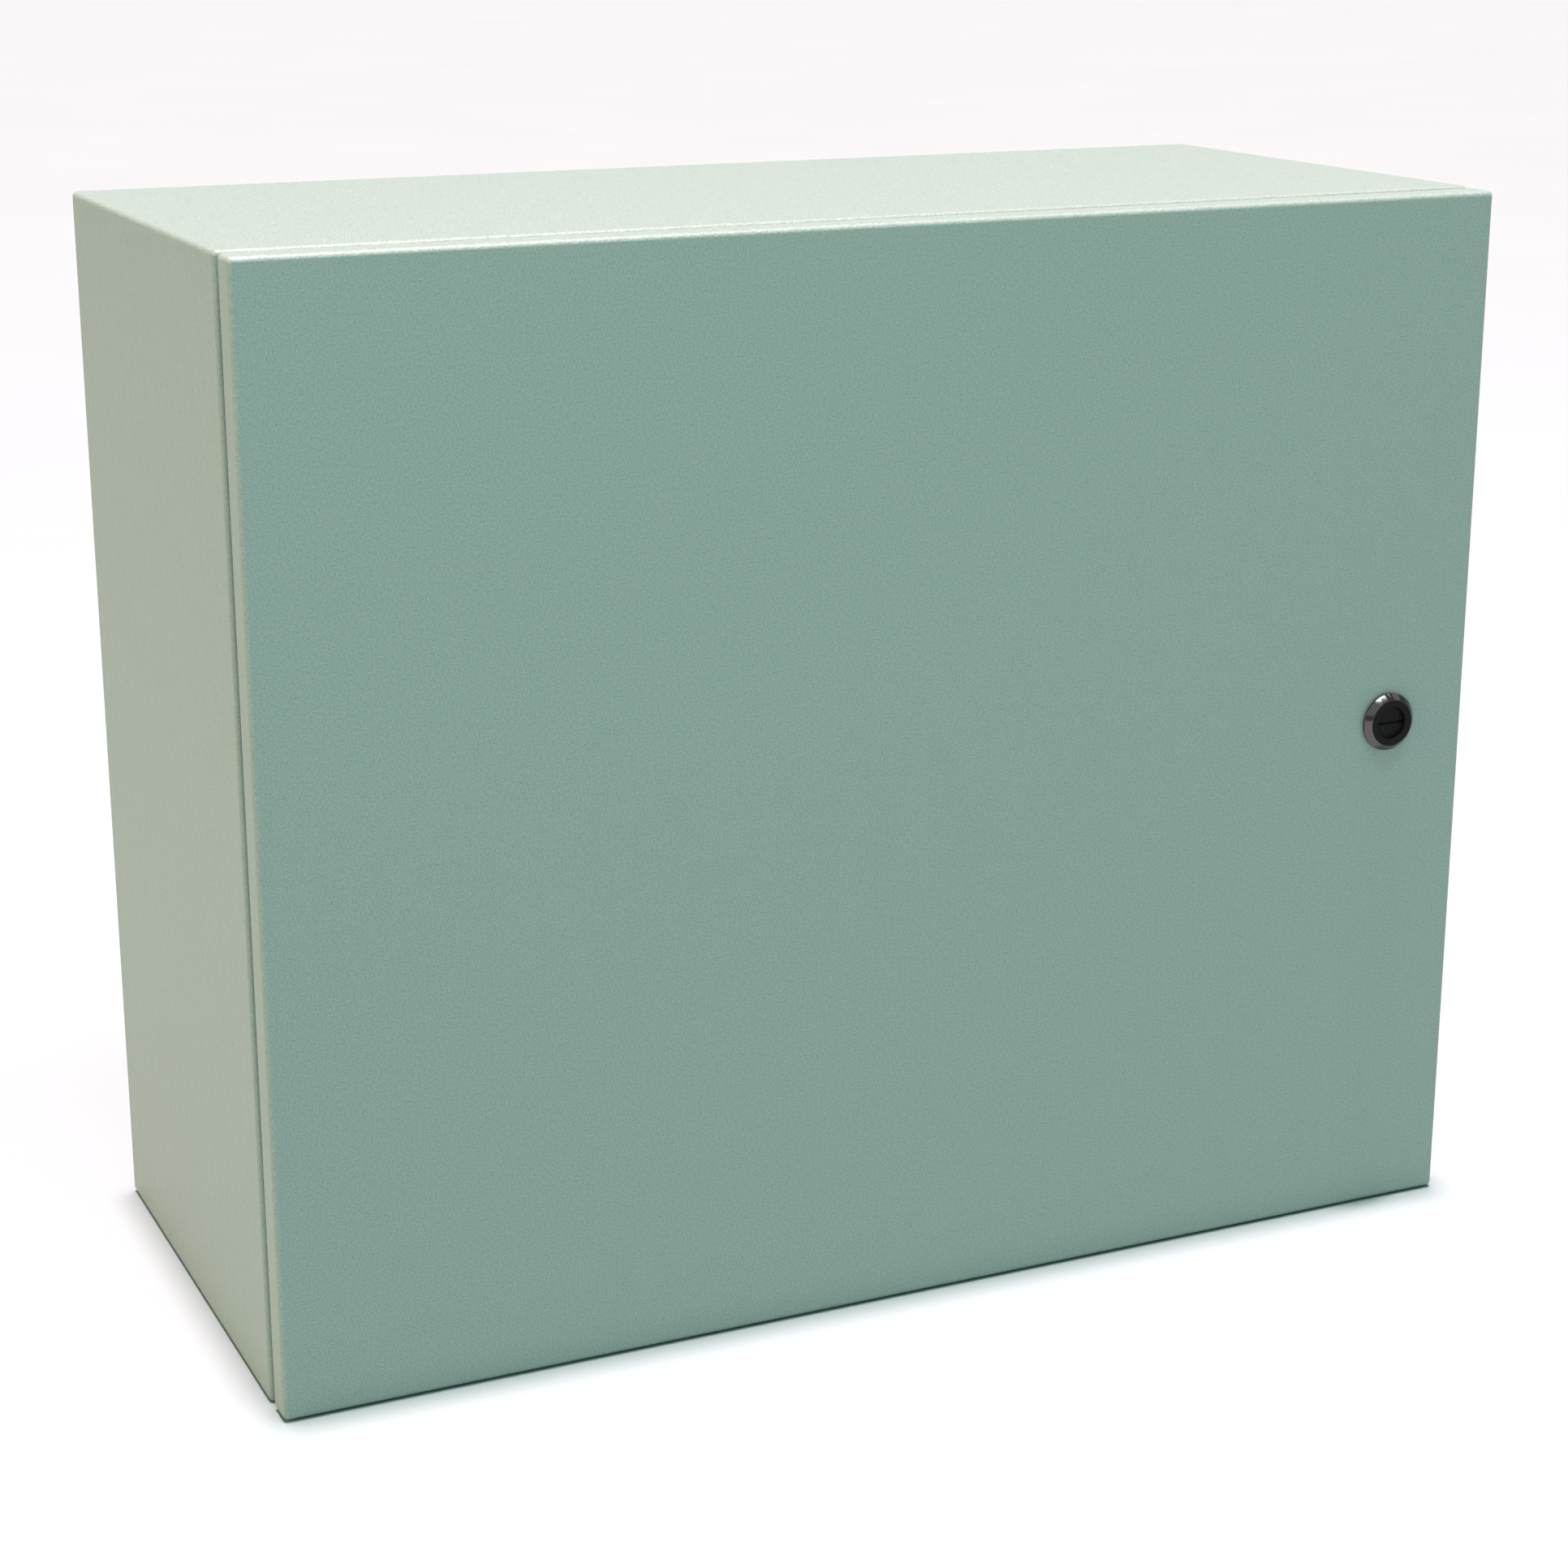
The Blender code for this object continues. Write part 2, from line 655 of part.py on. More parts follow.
def build_door_leaf(level, z, door_axis):
    """An angle bracket in the door's corner, with two knuckles either side of the body's one."""
    name = f"hinge_door_leaf_{level}"
    side_x = DOOR_LEAF_INSET - HINGE_INSET
    skin_y = DOOR_SKIN_Y + CONTACT_GAP - HINGE_Y
    inner_y = skin_y + LEAF_SHEET
    side_end = inner_y + DOOR_LEAF_SIDE - LEAF_SHEET
    reach = DOOR_LEAF_REACH - HINGE_INSET
    angle = [
        (side_x, skin_y),
        (reach, skin_y),
        (reach, inner_y),
        (side_x + LEAF_SHEET, inner_y),
        (side_x + LEAF_SHEET, side_end),
        (side_x, side_end),
    ]
    corner = BEND_RADIUS
    angle[0:1] = [(side_x, skin_y + corner), (side_x + corner, skin_y)]
    leaf = add(name, outline_mesh(name, [angle], DOOR_LEAF_LENGTH), ZINC, (HINGE_X, HINGE_Y, z), door_axis)
    tab_side = math.sqrt(KNUCKLE_RADIUS**2 - (side_x + LEAF_SHEET) ** 2)
    start = math.degrees(math.atan2(-tab_side, side_x + LEAF_SHEET))
    knuckle = [(side_x + LEAF_SHEET, side_end - LEAF_SHEET)]
    knuckle += arc((0, 0), KNUCKLE_RADIUS, start, 180, FINE_STEPS)
    knuckle += [(side_x, 0), (side_x, side_end - LEAF_SHEET)]
    bore = circle((0, 0), PIN_RADIUS + PIN_CLEARANCE, FINE_STEPS)
    step = (BODY_KNUCKLE_LENGTH + DOOR_KNUCKLE_LENGTH) / 2 + KNUCKLE_GAP
    for end, sign in (("top", 1), ("bottom", -1)):
        tube = add(
            f"{name}_{end}",
            outline_mesh(f"{name}_{end}", [knuckle, bore], DOOR_KNUCKLE_LENGTH),
            None,
            (HINGE_X, HINGE_Y, z + sign * step),
            door_axis,
        )
        combine(leaf, tube, "UNION")
    return leaf


def build_door_leaf_studs(leaves, door_axis):
    """Studs welded inside the door, with the nuts that hold the door leaves."""
    base_y = DOOR_SKIN_Y + CONTACT_GAP / 2
    seat_y = DOOR_SKIN_Y + 2 * CONTACT_GAP + LEAF_SHEET
    length = seat_y - base_y + M4_NUT_HEIGHT + M4_RADIUS / 2
    for level, sign in LEVELS.items():
        for number, offset in ((1, 1), (2, -1)):
            tag = f"{level}_{number}"
            x = LEFT_X + DOOR_STUD_INSET
            z = sign * HINGE_Z + offset * DOOR_STUD_SPACING / 2
            stud = turned(
                f"hinge_stud_{tag}",
                [(0, length), (M4_RADIUS, length), (M4_RADIUS, 0), (0, 0)],
                ZINC,
                (x, base_y, z),
                door_axis,
                SMALL_STEPS,
            )
            stud.rotation_euler = (-math.pi / 2, 0, 0)
            hole = cylinder_cutter(
                f"hinge_stud_hole_{tag}", M4_HOLE_RADIUS, 4 * LEAF_SHEET, (x, seat_y, z), parent=door_axis
            )
            combine(leaves[level], hole)
            hex_nut(
                f"hinge_stud_nut_{tag}",
                M4_NUT_FLATS,
                M4_NUT_HEIGHT,
                M4_RADIUS + CONTACT_GAP,
                (x, seat_y + M4_NUT_HEIGHT, z),
                door_axis,
            )


def build_hinge_pin(level, z):
    """A headed pin that stays with the body."""
    half = BODY_KNUCKLE_LENGTH / 2 + KNUCKLE_GAP + DOOR_KNUCKLE_LENGTH
    head_low = half + CONTACT_GAP
    profile = [
        (0, head_low + PIN_HEAD),
        (PIN_HEAD_RADIUS, head_low + PIN_HEAD),
        (PIN_HEAD_RADIUS, head_low),
        (PIN_RADIUS, head_low),
        (PIN_RADIUS, -half),
        (PIN_RADIUS / 2, -half - PIN_HEAD / 2),
        (0, -half - PIN_HEAD / 2),
    ]
    turned(f"hinge_pin_{level}", profile, ZINC, (HINGE_X, HINGE_Y, z), upright=True)


def build_hinges(door_axis):
    body_leaves = {}
    door_leaves = {}
    for level, sign in LEVELS.items():
        body_leaves[level] = build_body_leaf(level, sign * HINGE_Z)
        door_leaves[level] = build_door_leaf(level, sign * HINGE_Z, door_axis)
        build_hinge_pin(level, sign * HINGE_Z)
    build_body_leaf_screws(body_leaves)
    build_door_leaf_studs(door_leaves, door_axis)


# ---------------------------------------------------------------- door


def barrel_outline(grow):
    """A circle with two flats, the shape of the latch barrel and, grown, of its hole."""
    radius = BARREL_RADIUS + grow
    flat = BARREL_FLAT + grow
    corner = math.degrees(math.asin(flat / radius))
    right = arc((0, 0), radius, -corner, corner, SMALL_STEPS)
    left = arc((0, 0), radius, 180 - corner, 180 + corner, SMALL_STEPS)
    return right + left


def build_door_panel(door_axis):
    bm = cube((DOOR_WIDTH, DOOR_DEPTH, DOOR_HEIGHT))
    bmesh.ops.delete(bm, geom=[face_towards(bm, (0, 1, 0))], context="FACES_ONLY")
    centre = (0, DOOR_REAR_Y - DOOR_DEPTH / 2, 0)
    door = add("door_panel", mesh_from("door_panel", bm), PAINT, centre, door_axis)
    fold_and_thicken(door, DOOR_SHEET)
    hole_mesh = outline_mesh("latch_hole", [barrel_outline(BARREL_HOLE_GAP)], 8 * DOOR_SHEET)
    hole = add("latch_hole", hole_mesh, None, (LATCH_X, DOOR_FRONT_Y, 0), door_axis)
    hole.rotation_euler = (math.pi / 2, 0, 0)
    combine(door, hole)


def build_gasket(door_axis):
    """A closed foam ring inside the door, where the body's lip presses on it."""
    low_y = LIP_Y - CONTACT_GAP
    high_y = DOOR_SKIN_Y + CONTACT_GAP
    loops = []
    for grow in (GASKET_WIDTH / 2, -GASKET_WIDTH / 2):
        loops.append(
            rounded_rectangle(
                BODY_WIDTH - 2 * (GASKET_CENTRE_INSET - grow),
                BODY_HEIGHT - 2 * (GASKET_CENTRE_INSET - grow),
                GASKET_CORNER + grow,
            )
        )
    mesh = outline_mesh("door_gasket", loops, low_y - high_y)
    ring = add("door_gasket", mesh, FOAM, (0, (low_y + high_y) / 2, 0), door_axis)
    ring.rotation_euler = (math.pi / 2, 0, 0)


def build_rail(side, x, door_axis):
    """A perforated hat-section rail, welded upright inside the door."""
    name = f"door_rail_{side}"
    base = DOOR_SKIN_Y + CONTACT_GAP
    half_face = RAIL_FACE / 2
    half_foot = half_face + RAIL_FOOT
    top = RAIL_HEIGHT
    t = RAIL_SHEET
    hat = [
        (-half_foot, 0),
        (-half_face + t, 0),
        (-half_face + t, top - t),
        (half_face - t, top - t),
        (half_face - t, 0),
        (half_foot, 0),
        (half_foot, t),
        (half_face, t),
        (half_face, top),
        (-half_face, top),
        (-half_face, t),
        (-half_foot, t),
    ]
    length = DOOR_HEIGHT - 2 * RAIL_END_CLEARANCE
    rail = add(name, outline_mesh(name, [hat], length), ZINC, (x, base, 0), door_axis)
    count = int((length - RAIL_HOLE_PITCH) / RAIL_HOLE_PITCH)
    for index in range(count):
        z = (index - (count - 1) / 2) * RAIL_HOLE_PITCH
        hole = cylinder_cutter(
            f"{name}_hole_{index + 1}",
            RAIL_HOLE_RADIUS,
            4 * RAIL_SHEET,
            (x, base + RAIL_HEIGHT, z),
            steps=8,
            parent=door_axis,
        )
        combine(rail, hole)


# ---------------------------------------------------------------- latch


def bezel_slope(rim_top):
    """The bezel's sloping side with both its edges rounded, from the face down to the rim."""
    slope = (BEZEL_RADIUS - BEZEL_FACE_RADIUS, rim_top - BEZEL_HEIGHT)
    share = BEZEL_EDGE / math.hypot(*slope)
    start = (BEZEL_FACE_RADIUS + share * slope[0], BEZEL_HEIGHT + share * slope[1])
    end = (BEZEL_RADIUS - share * slope[0], rim_top - share * slope[1])
    middle_top = (BEZEL_FACE_RADIUS + share * slope[0] / 4, BEZEL_HEIGHT + share * slope[1] / 2)
    middle_rim = (BEZEL_RADIUS - share * slope[0] / 4, rim_top - share * slope[1] / 4)
    return [middle_top, start, end, middle_rim, (BEZEL_RADIUS, rim_top - BEZEL_EDGE / 2)]


def build_latch_housing(door_axis):
    """A bezel and a flat-sided barrel in one piece, with a recess and a bore for the driver."""
    at = (LATCH_X, DOOR_FRONT_Y, 0)
    seat = SEAL_THICKNESS + 2 * CONTACT_GAP
    barrel_end = -(FLANGE_Y - DOOR_FRONT_Y) + BARREL_END_BEHIND_FLANGE_PLANE
    recess_floor = BEZEL_HEIGHT - RECESS_DEPTH - DRIVER_HEAD - CONTACT_GAP
    housing = turned(
        "latch_housing",
        [
            (0, BEZEL_HEIGHT),
            (BEZEL_FACE_RADIUS - BEZEL_EDGE, BEZEL_HEIGHT),
            *bezel_slope(seat + BEZEL_RIM),
            (BEZEL_RADIUS, seat),
            (0, seat),
        ],
        DARK_CHROME,
        at,
        door_axis,
        LARGE_STEPS,
    )
    barrel_top = seat + BEZEL_RIM
    barrel_at = (LATCH_X, DOOR_FRONT_Y - (barrel_top + barrel_end) / 2, 0)
    barrel_mesh = outline_mesh("latch_barrel", [barrel_outline(0)], barrel_top - barrel_end)
    barrel = add("latch_barrel", barrel_mesh, None, barrel_at, door_axis)
    barrel.rotation_euler = (math.pi / 2, 0, 0)
    combine(housing, barrel, "UNION")
    recess = turned(
        "latch_recess",
        [
            (0, BEZEL_HEIGHT + BEZEL_EDGE),
            (RECESS_RADIUS + 2 * BEZEL_EDGE, BEZEL_HEIGHT + BEZEL_EDGE),
            (RECESS_RADIUS, BEZEL_HEIGHT - BEZEL_EDGE),
            (RECESS_RADIUS, recess_floor),
            (0, recess_floor),
        ],
        None,
        at,
        door_axis,
        LARGE_STEPS,
    )
    combine(housing, recess)
    bore_radius = DRIVER_SHAFT_RADIUS + CONTACT_GAP
    bore = cylinder_cutter("latch_bore", bore_radius, -4 * barrel_end, at, LARGE_STEPS, door_axis)
    combine(housing, bore)
    turned(
        "latch_seal",
        ring_profile(BARREL_RADIUS + CONTACT_GAP, SEAL_RADIUS, CONTACT_GAP, CONTACT_GAP + SEAL_THICKNESS),
        BLACK,
        at,
        door_axis,
        LARGE_STEPS,
    )
    nut_y = DOOR_SKIN_Y + CONTACT_GAP + LATCH_NUT_HEIGHT
    hex_nut(
        "latch_nut",
        LATCH_NUT_FLATS,
        LATCH_NUT_HEIGHT,
        BARREL_RADIUS + 2 * CONTACT_GAP,
        (LATCH_X, nut_y, 0),
        door_axis,
    )


def latch_heights():
    """Heights, out from the door's face, of the cam's two faces and of the driver's end."""
    cam_front = (DOOR_FRONT_Y - FLANGE_Y) - SHEET - CAM_CLEARANCE
    cam_rear = cam_front - CAM_SHEET
    return cam_front, cam_rear, cam_rear + CONTACT_GAP


def build_latch_driver(latch_axis):
    """The slotted insert: a head in the recess, a round shaft and a square end that turns the cam."""
    at = (LATCH_X, DOOR_FRONT_Y, 0)
    cam_front, _, square_end = latch_heights()
    face = BEZEL_HEIGHT - RECESS_DEPTH
    head_low = face - DRIVER_HEAD
    shaft_end = cam_front + CONTACT_GAP
    driver = turned(
        "latch_driver",
        [
            (0, face),
            (RECESS_RADIUS - CONTACT_GAP, face),
            (RECESS_RADIUS - CONTACT_GAP, head_low),
            (DRIVER_SHAFT_RADIUS, head_low),
            (DRIVER_SHAFT_RADIUS, shaft_end),
            (0, shaft_end),
        ],
        BLACK,
        at,
        latch_axis,
        LARGE_STEPS,
    )
    square_length = shaft_end + DRIVER_SHAFT_RADIUS - square_end
    square_y = DOOR_FRONT_Y - (shaft_end + DRIVER_SHAFT_RADIUS + square_end) / 2
    square_size = (DRIVER_SQUARE, square_length, DRIVER_SQUARE)
    square = box("driver_square", square_size, (LATCH_X, square_y, 0), parent=latch_axis)
    combine(driver, square, "UNION")
    slot = box(
        "driver_slot",
        (4 * RECESS_RADIUS, 2 * SLOT_DEPTH, SLOT_WIDTH),
        (LATCH_X, DOOR_FRONT_Y - face, 0),
        parent=latch_axis,
    )
    combine(driver, slot)
    tap = cylinder_cutter(
        "driver_thread",
        CAM_SCREW_RADIUS + CONTACT_GAP,
        2 * (CAM_SCREW_DEPTH + CONTACT_GAP),
        (LATCH_X, DOOR_FRONT_Y - square_end, 0),
        FINE_STEPS,
        latch_axis,
    )
    combine(driver, tap)


def build_latch_cam(latch_axis):
    """A flat cam that points up at rest, with its screw and washer."""
    cam_front, cam_rear, _ = latch_heights()
    length = LATCH_INSET - CAM_WALL_CLEARANCE
    half = CAM_WIDTH / 2
    tip = half / 2
    hole_half = DRIVER_SQUARE / 2 + CONTACT_GAP
    outline = arc((0, 0), half, 180, 360, SMALL_STEPS)
    outline += arc((half - tip, length - tip), tip, 0, 90, 4)
    outline += arc((tip - half, length - tip), tip, 90, 180, 4)
    square = [(x * hole_half, z * hole_half) for x, z in ((-1, -1), (1, -1), (1, 1), (-1, 1))]
    mesh = outline_mesh("latch_cam", [outline, square], CAM_SHEET)
    centre = (LATCH_X, DOOR_FRONT_Y - (cam_front + cam_rear) / 2, 0)
    add("latch_cam", mesh, ZINC, centre, latch_axis).rotation_euler = (math.pi / 2, 0, 0)
    washer_high = cam_rear - CONTACT_GAP
    washer_low = washer_high - CAM_WASHER
    turned(
        "cam_washer",
        ring_profile(CAM_SCREW_RADIUS + CONTACT_GAP, CAM_WASHER_RADIUS, washer_low, washer_high),
        ZINC,
        (LATCH_X, DOOR_FRONT_Y, 0),
        latch_axis,
    )
    head_high = washer_low - CONTACT_GAP
    shank_top = cam_rear + CAM_SCREW_DEPTH - CONTACT_GAP
    loop = circle((0, 0), CAM_SCREW_FLATS / 2 / math.cos(math.pi / 6), 6)
    head_at = (LATCH_X, DOOR_FRONT_Y - head_high + CAM_SCREW_HEAD / 2, 0)
    screw = add("cam_screw", outline_mesh("cam_screw", [loop], CAM_SCREW_HEAD), ZINC, head_at, latch_axis)
    screw.rotation_euler = (math.pi / 2, 0, 0)
    overlap = CAM_SCREW_HEAD / 2
    shank_length = shank_top - head_high + overlap
    shank_mesh = cylinder_mesh("cam_screw_shank", CAM_SCREW_RADIUS, shank_length, FINE_STEPS)
    shank_y = DOOR_FRONT_Y - (shank_top + head_high - overlap) / 2
    shank = add("cam_screw_shank", shank_mesh, None, (LATCH_X, shank_y, 0), latch_axis)
    combine(screw, shank, "UNION")


def build():
    door_axis = axis_empty("door_axis", (HINGE_X, HINGE_Y, 0))
    latch_axis = axis_empty("latch_axis", (LATCH_X, DOOR_FRONT_Y, 0))
    build_body_shell()
    build_back_wall()
    build_mounting_panel()
    body_earth = (LEFT_X + BODY_EARTH_INSET, -BODY_HEIGHT / 2 + BODY_EARTH_RISE)
    build_earth_point("body", body_earth[0], STUD_BASE_Y, body_earth[1])
    build_door_panel(door_axis)
    build_gasket(door_axis)
    build_rail("left", LEFT_X + RAIL_LEFT_INSET, door_axis)
    build_rail("right", RIGHT_X - RAIL_RIGHT_INSET, door_axis)
    door_earth = (LEFT_X + DOOR_EARTH_INSET, -BODY_HEIGHT / 2 + DOOR_EARTH_RISE)
    build_earth_point("door", door_earth[0], DOOR_SKIN_Y + CONTACT_GAP, door_earth[1], door_axis)
    build_hinges(door_axis)
    build_latch_housing(door_axis)
    build_latch_driver(latch_axis)
    build_latch_cam(latch_axis)
    for part in PARTS.objects:
        if part.type == "MESH":
            shade_round(part.data)


build()
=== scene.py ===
"""Finishes, fine detail and studio of a wall-mount steel enclosure, as a Blender add-on."""

import json
import math

import bpy
import numpy as np
from mathutils import Matrix, Quaternion, Vector

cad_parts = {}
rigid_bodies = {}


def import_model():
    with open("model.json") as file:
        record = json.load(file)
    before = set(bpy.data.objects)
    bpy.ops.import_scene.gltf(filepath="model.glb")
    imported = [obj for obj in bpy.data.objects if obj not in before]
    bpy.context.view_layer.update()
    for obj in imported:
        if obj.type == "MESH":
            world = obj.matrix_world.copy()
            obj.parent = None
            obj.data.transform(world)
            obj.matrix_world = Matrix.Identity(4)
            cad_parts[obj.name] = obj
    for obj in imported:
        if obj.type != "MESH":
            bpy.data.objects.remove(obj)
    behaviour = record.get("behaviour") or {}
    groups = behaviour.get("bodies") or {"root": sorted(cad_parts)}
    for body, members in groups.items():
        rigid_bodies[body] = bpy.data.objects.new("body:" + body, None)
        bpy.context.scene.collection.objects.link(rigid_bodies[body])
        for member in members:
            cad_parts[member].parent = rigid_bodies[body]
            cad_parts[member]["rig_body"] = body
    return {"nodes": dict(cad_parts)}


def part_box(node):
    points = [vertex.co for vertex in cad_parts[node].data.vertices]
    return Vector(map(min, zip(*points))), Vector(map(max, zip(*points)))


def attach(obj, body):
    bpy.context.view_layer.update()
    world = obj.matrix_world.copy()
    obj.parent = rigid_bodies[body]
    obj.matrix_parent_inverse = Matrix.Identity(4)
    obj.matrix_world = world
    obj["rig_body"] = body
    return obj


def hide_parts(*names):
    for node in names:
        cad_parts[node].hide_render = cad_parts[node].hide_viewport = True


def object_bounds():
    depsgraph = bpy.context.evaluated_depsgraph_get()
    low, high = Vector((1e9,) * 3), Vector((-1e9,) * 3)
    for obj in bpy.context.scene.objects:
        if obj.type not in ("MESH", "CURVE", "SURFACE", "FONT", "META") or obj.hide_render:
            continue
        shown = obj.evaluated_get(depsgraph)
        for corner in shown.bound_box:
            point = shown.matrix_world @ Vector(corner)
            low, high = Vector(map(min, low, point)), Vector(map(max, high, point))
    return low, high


for leftover in list(bpy.data.objects):
    bpy.data.objects.remove(leftover)
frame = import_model()
NODES = frame["nodes"]
CAD_BOX = [list(corner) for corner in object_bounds()]

bl_info = {
    "name": "Steel enclosure",
    "version": (1, 0, 0),
    "blender": (4, 5, 0),
    "location": "View3D > Sidebar > Enclosure",
    "description": "Finishes a wall-mount steel enclosure and sets it in a studio",
    "category": "Object",
}

PAINTED = ("body_shell", "back_wall", "door_panel")
LATCH_CENTRE = sum(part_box("latch_housing"), Vector()) / 2

# Edges of a dressed CAD node that are sharper than this stay crisp; corners nearer than the
# distance are joined before it is shaded.
CRISP_ANGLE = math.radians(32)
JOIN_DISTANCE = 0.000002
# The bezel turns from black to chrome between these distances from the latch's axis.
BEZEL_BLACK_END = 0.01135
BEZEL_CHROME_START = 0.0115

# The thread's sides round the stud and rows to a turn, and how its triangle wave is scaled and
# lowered before it is clipped to crests and roots.
THREAD_SIDES = 48
THREAD_ROWS = 10
THREAD_STEEPNESS = 1.35
THREAD_ROOT = 0.15
FOOT_EDGE = 0.0003
# Thread radius, thread pitch and plain foot (radius, height) of each kind of stud.
STUDS = {
    "panel_stud": (0.004, 0.00125, (0.007, 0.012)),
    "earth_stud": (0.003, 0.001, (0.005, 0.002)),
    "hinge_stud": (0.002, 0.0007, (0.0, 0.0)),
}
# Width over the flats, bore radius and flange (radius, thickness) of each kind of nut.
NUTS = {
    "panel_nut": (0.013, 0.0043, (0.009, 0.0016)),
    "earth_nut": (0.010, 0.0033, None),
    "hinge_nut": (0.007, 0.0023, None),
    "hinge_stud_nut": (0.007, 0.0023, None),
    "latch_nut": (0.027, 0.0116, None),
}
NUT_SIDES = 96
NUT_CHAMFER = math.tan(math.radians(30))
# Radius where a nut's chamfer starts on its end face, as a share of half its flats.
NUT_FACE = 0.94

# The gasket's width and outer corner radius, how its section is squared off across and upwards,
# and half the width of the crease in it.
GASKET_WIDTH = 0.008
GASKET_CORNER = 0.012
SECTION_ACROSS = 0.75
SECTION_RISE = 0.6
CREASE_REACH = 0.0011

FLOOR_GAP = 0.0003
FLOOR_THICKNESS = 0.05
VIEW_DISTANCE = 1000.0
SENSOR_WIDTH = 36.0
# Direction in which each distant light shines, and the angle of its disc in degrees.
DISTANT_LIGHTS = {
    "overhead": ((0.0, -0.01, -1.0), 4),
    "side": ((1.0, 0.0, -0.25), 40),
}
# Direction from the latch, distance, size and roll in degrees of each box light.
BOX_LIGHTS = {
    "fill": ((-0.61, -0.67, 0.75), 1.18, (1.3, 1.0), 0),
    "softbox": ((0.009, -0.329, 0.943), 3.0, (1.75, 0.45), 15),
    "strip": ((0.4725, -0.164, 0.865), 3.0, (0.33, 0.30), 0),
    "rim": ((0.933, 0.336, 0.127), 2.0, (0.2, 0.3), 0),
    "dim": ((0.744, 0.026, 0.665), 3.0, (1.3, 1.0), 0),
}


# ------------------------------------------------------------------ settings


def real(name, description, default, **limits):
    """A setting that is one number."""
    return bpy.props.FloatProperty(name=name, description=description, default=default, **limits)


def length(name, description, default):
    return real(name, description, default, min=0.0, precision=5, unit="LENGTH")


def share(name, description, default):
    return real(name, description, default, min=0.0, max=1.0, subtype="FACTOR")


def number(name, description, default):
    return real(name, description, default, min=0.0)


def angle(name, description, degrees):
    return real(name, description, math.radians(degrees), subtype="ANGLE")


def triple(name, description, default, **limits):
    """A setting that is three numbers."""
    return bpy.props.FloatVectorProperty(
        name=name, description=description, default=default, size=3, **limits
    )


def colour(name, description, default):
    return triple(name, description, default, min=0.0, max=4.0, subtype="COLOR")


def place(name, description, default):
    return triple(name, description, default, subtype="TRANSLATION", unit="LENGTH")


class EnclosurePaintSettings(bpy.types.PropertyGroup):
    colour: colour("Paint", "Colour of the powder coat", (0.226, 0.342, 0.300))
    panel_colour: colour("Panel paint", "Colour of the mounting panel", (0.78, 0.79, 0.77))
    roughness: share("Roughness", "Mean roughness of the powder coat", 0.37)
    grain: length("Grain", "Size of the coat's fine grain", 0.0009)
    grain_depth: length("Grain depth", "Height of the coat's fine grain", 0.00024)
    peel: length("Orange peel", "Size of the coat's soft waves", 0.006)
    peel_depth: length("Peel depth", "Height of the coat's soft waves", 0.00032)
    # Mottle is partly the coat's own speckle and partly painted highlight on the grain's tops and
    # painted shade in its dips.
    mottle_and_painted_light: share("Mottle", "How much the grain lightens and darkens the coat", 0.17)


class EnclosureMetalSettings(bpy.types.PropertyGroup):
    zinc: colour("Zinc", "Colour of the plated fasteners", (0.60, 0.61, 0.63))
    galvanised: colour("Galvanised", "Colour of the stiffening rails", (0.55, 0.57, 0.59))
    spangle: length("Spangle", "Size of the galvanised crystals", 0.009)
    chrome: colour("Dark chrome", "Colour of the latch bezel", (0.118, 0.100, 0.102))
    thread_depth: share("Thread depth", "Depth of a thread as a share of its pitch", 0.55)


class EnclosureSealSettings(bpy.types.PropertyGroup):
    foam: colour("Foam", "Colour of the door gasket", (0.030, 0.031, 0.034))
    ripple: length("Ripple", "Height of the waves along the foam bead", 0.00015)
    crease: length("Crease", "Depth of the line that the lip has pressed in the bead", 0.0005)
    black: colour("Black", "Colour of the plugs and of the latch insert", (0.0065, 0.0065, 0.0060))


class EnclosureStudioSettings(bpy.types.PropertyGroup):
    camera_place: place("Camera", "Place of the camera", (-0.6186, -1.4762, 0.4017))
    azimuth: angle("Azimuth", "Direction of the camera about the upright axis", -24.5816)
    elevation: angle("Elevation", "How far the camera looks down", 16.2412)
    roll: angle("Roll", "Roll of the camera", -0.0347)
    focal_length: number("Focal length", "Focal length in millimetres", 71.24)
    shift_x: real("Shift X", "Lens shift to the side", 0.0068)
    shift_y: real("Shift Y", "Lens shift upwards", -0.0109)
    floor: colour("Floor", "Colour of the floor", (0.285, 0.412, 0.408))
    surround: colour("Surround", "Light from all round", (0.225, 0.335, 0.328))
    overhead: colour("Overhead light", "Colour of the light above", (1.0, 0.619, 0.662))
    overhead_power: number("Overhead power", "Strength of the light above", 9.55)
    side: colour("Side light", "Colour of the light on the left", (1.0, 0.43, 0.083))
    side_power: number("Side power", "Strength of the light on the left", 1.88)
    fill: colour("Fill light", "Colour of the broad light on the left", (0.983, 1.0, 0.987))
    fill_power: number("Fill power", "Watts of the broad light", 2.1)
    softbox: colour("Softbox", "Colour of the box light above the door", (0.86, 1.0, 1.0))
    softbox_power: number("Softbox power", "Watts of the box light", 34.0)
    strip: colour("Strip light", "Colour of the strip light beside it", (0.86, 1.0, 1.0))
    strip_power: number("Strip power", "Watts of the strip light", 2.0)
    rim: colour("Rim light", "Colour of the small light on the right", (0.85, 0.80, 1.0))
    rim_power: number("Rim power", "Watts of the small light on the right", 0.7)
    dim: colour("Dim light", "Colour of the large dim light on the right", (1.0, 0.86, 0.80))
    dim_power: number("Dim power", "Watts of the large dim light", 3.0)


# ------------------------------------------------------------------ materials


def add_node(tree, kind, settings=None, inputs=None):
    """A shader node with its settings, and with each input set or linked."""
    made = tree.nodes.new(kind)
    for key, value in (settings or {}).items():
        setattr(made, key, value)
    for key, value in (inputs or {}).items():
        if isinstance(value, bpy.types.NodeSocket):
            tree.links.new(value, made.inputs[key])
        else:
            made.inputs[key].default_value = value
    return made


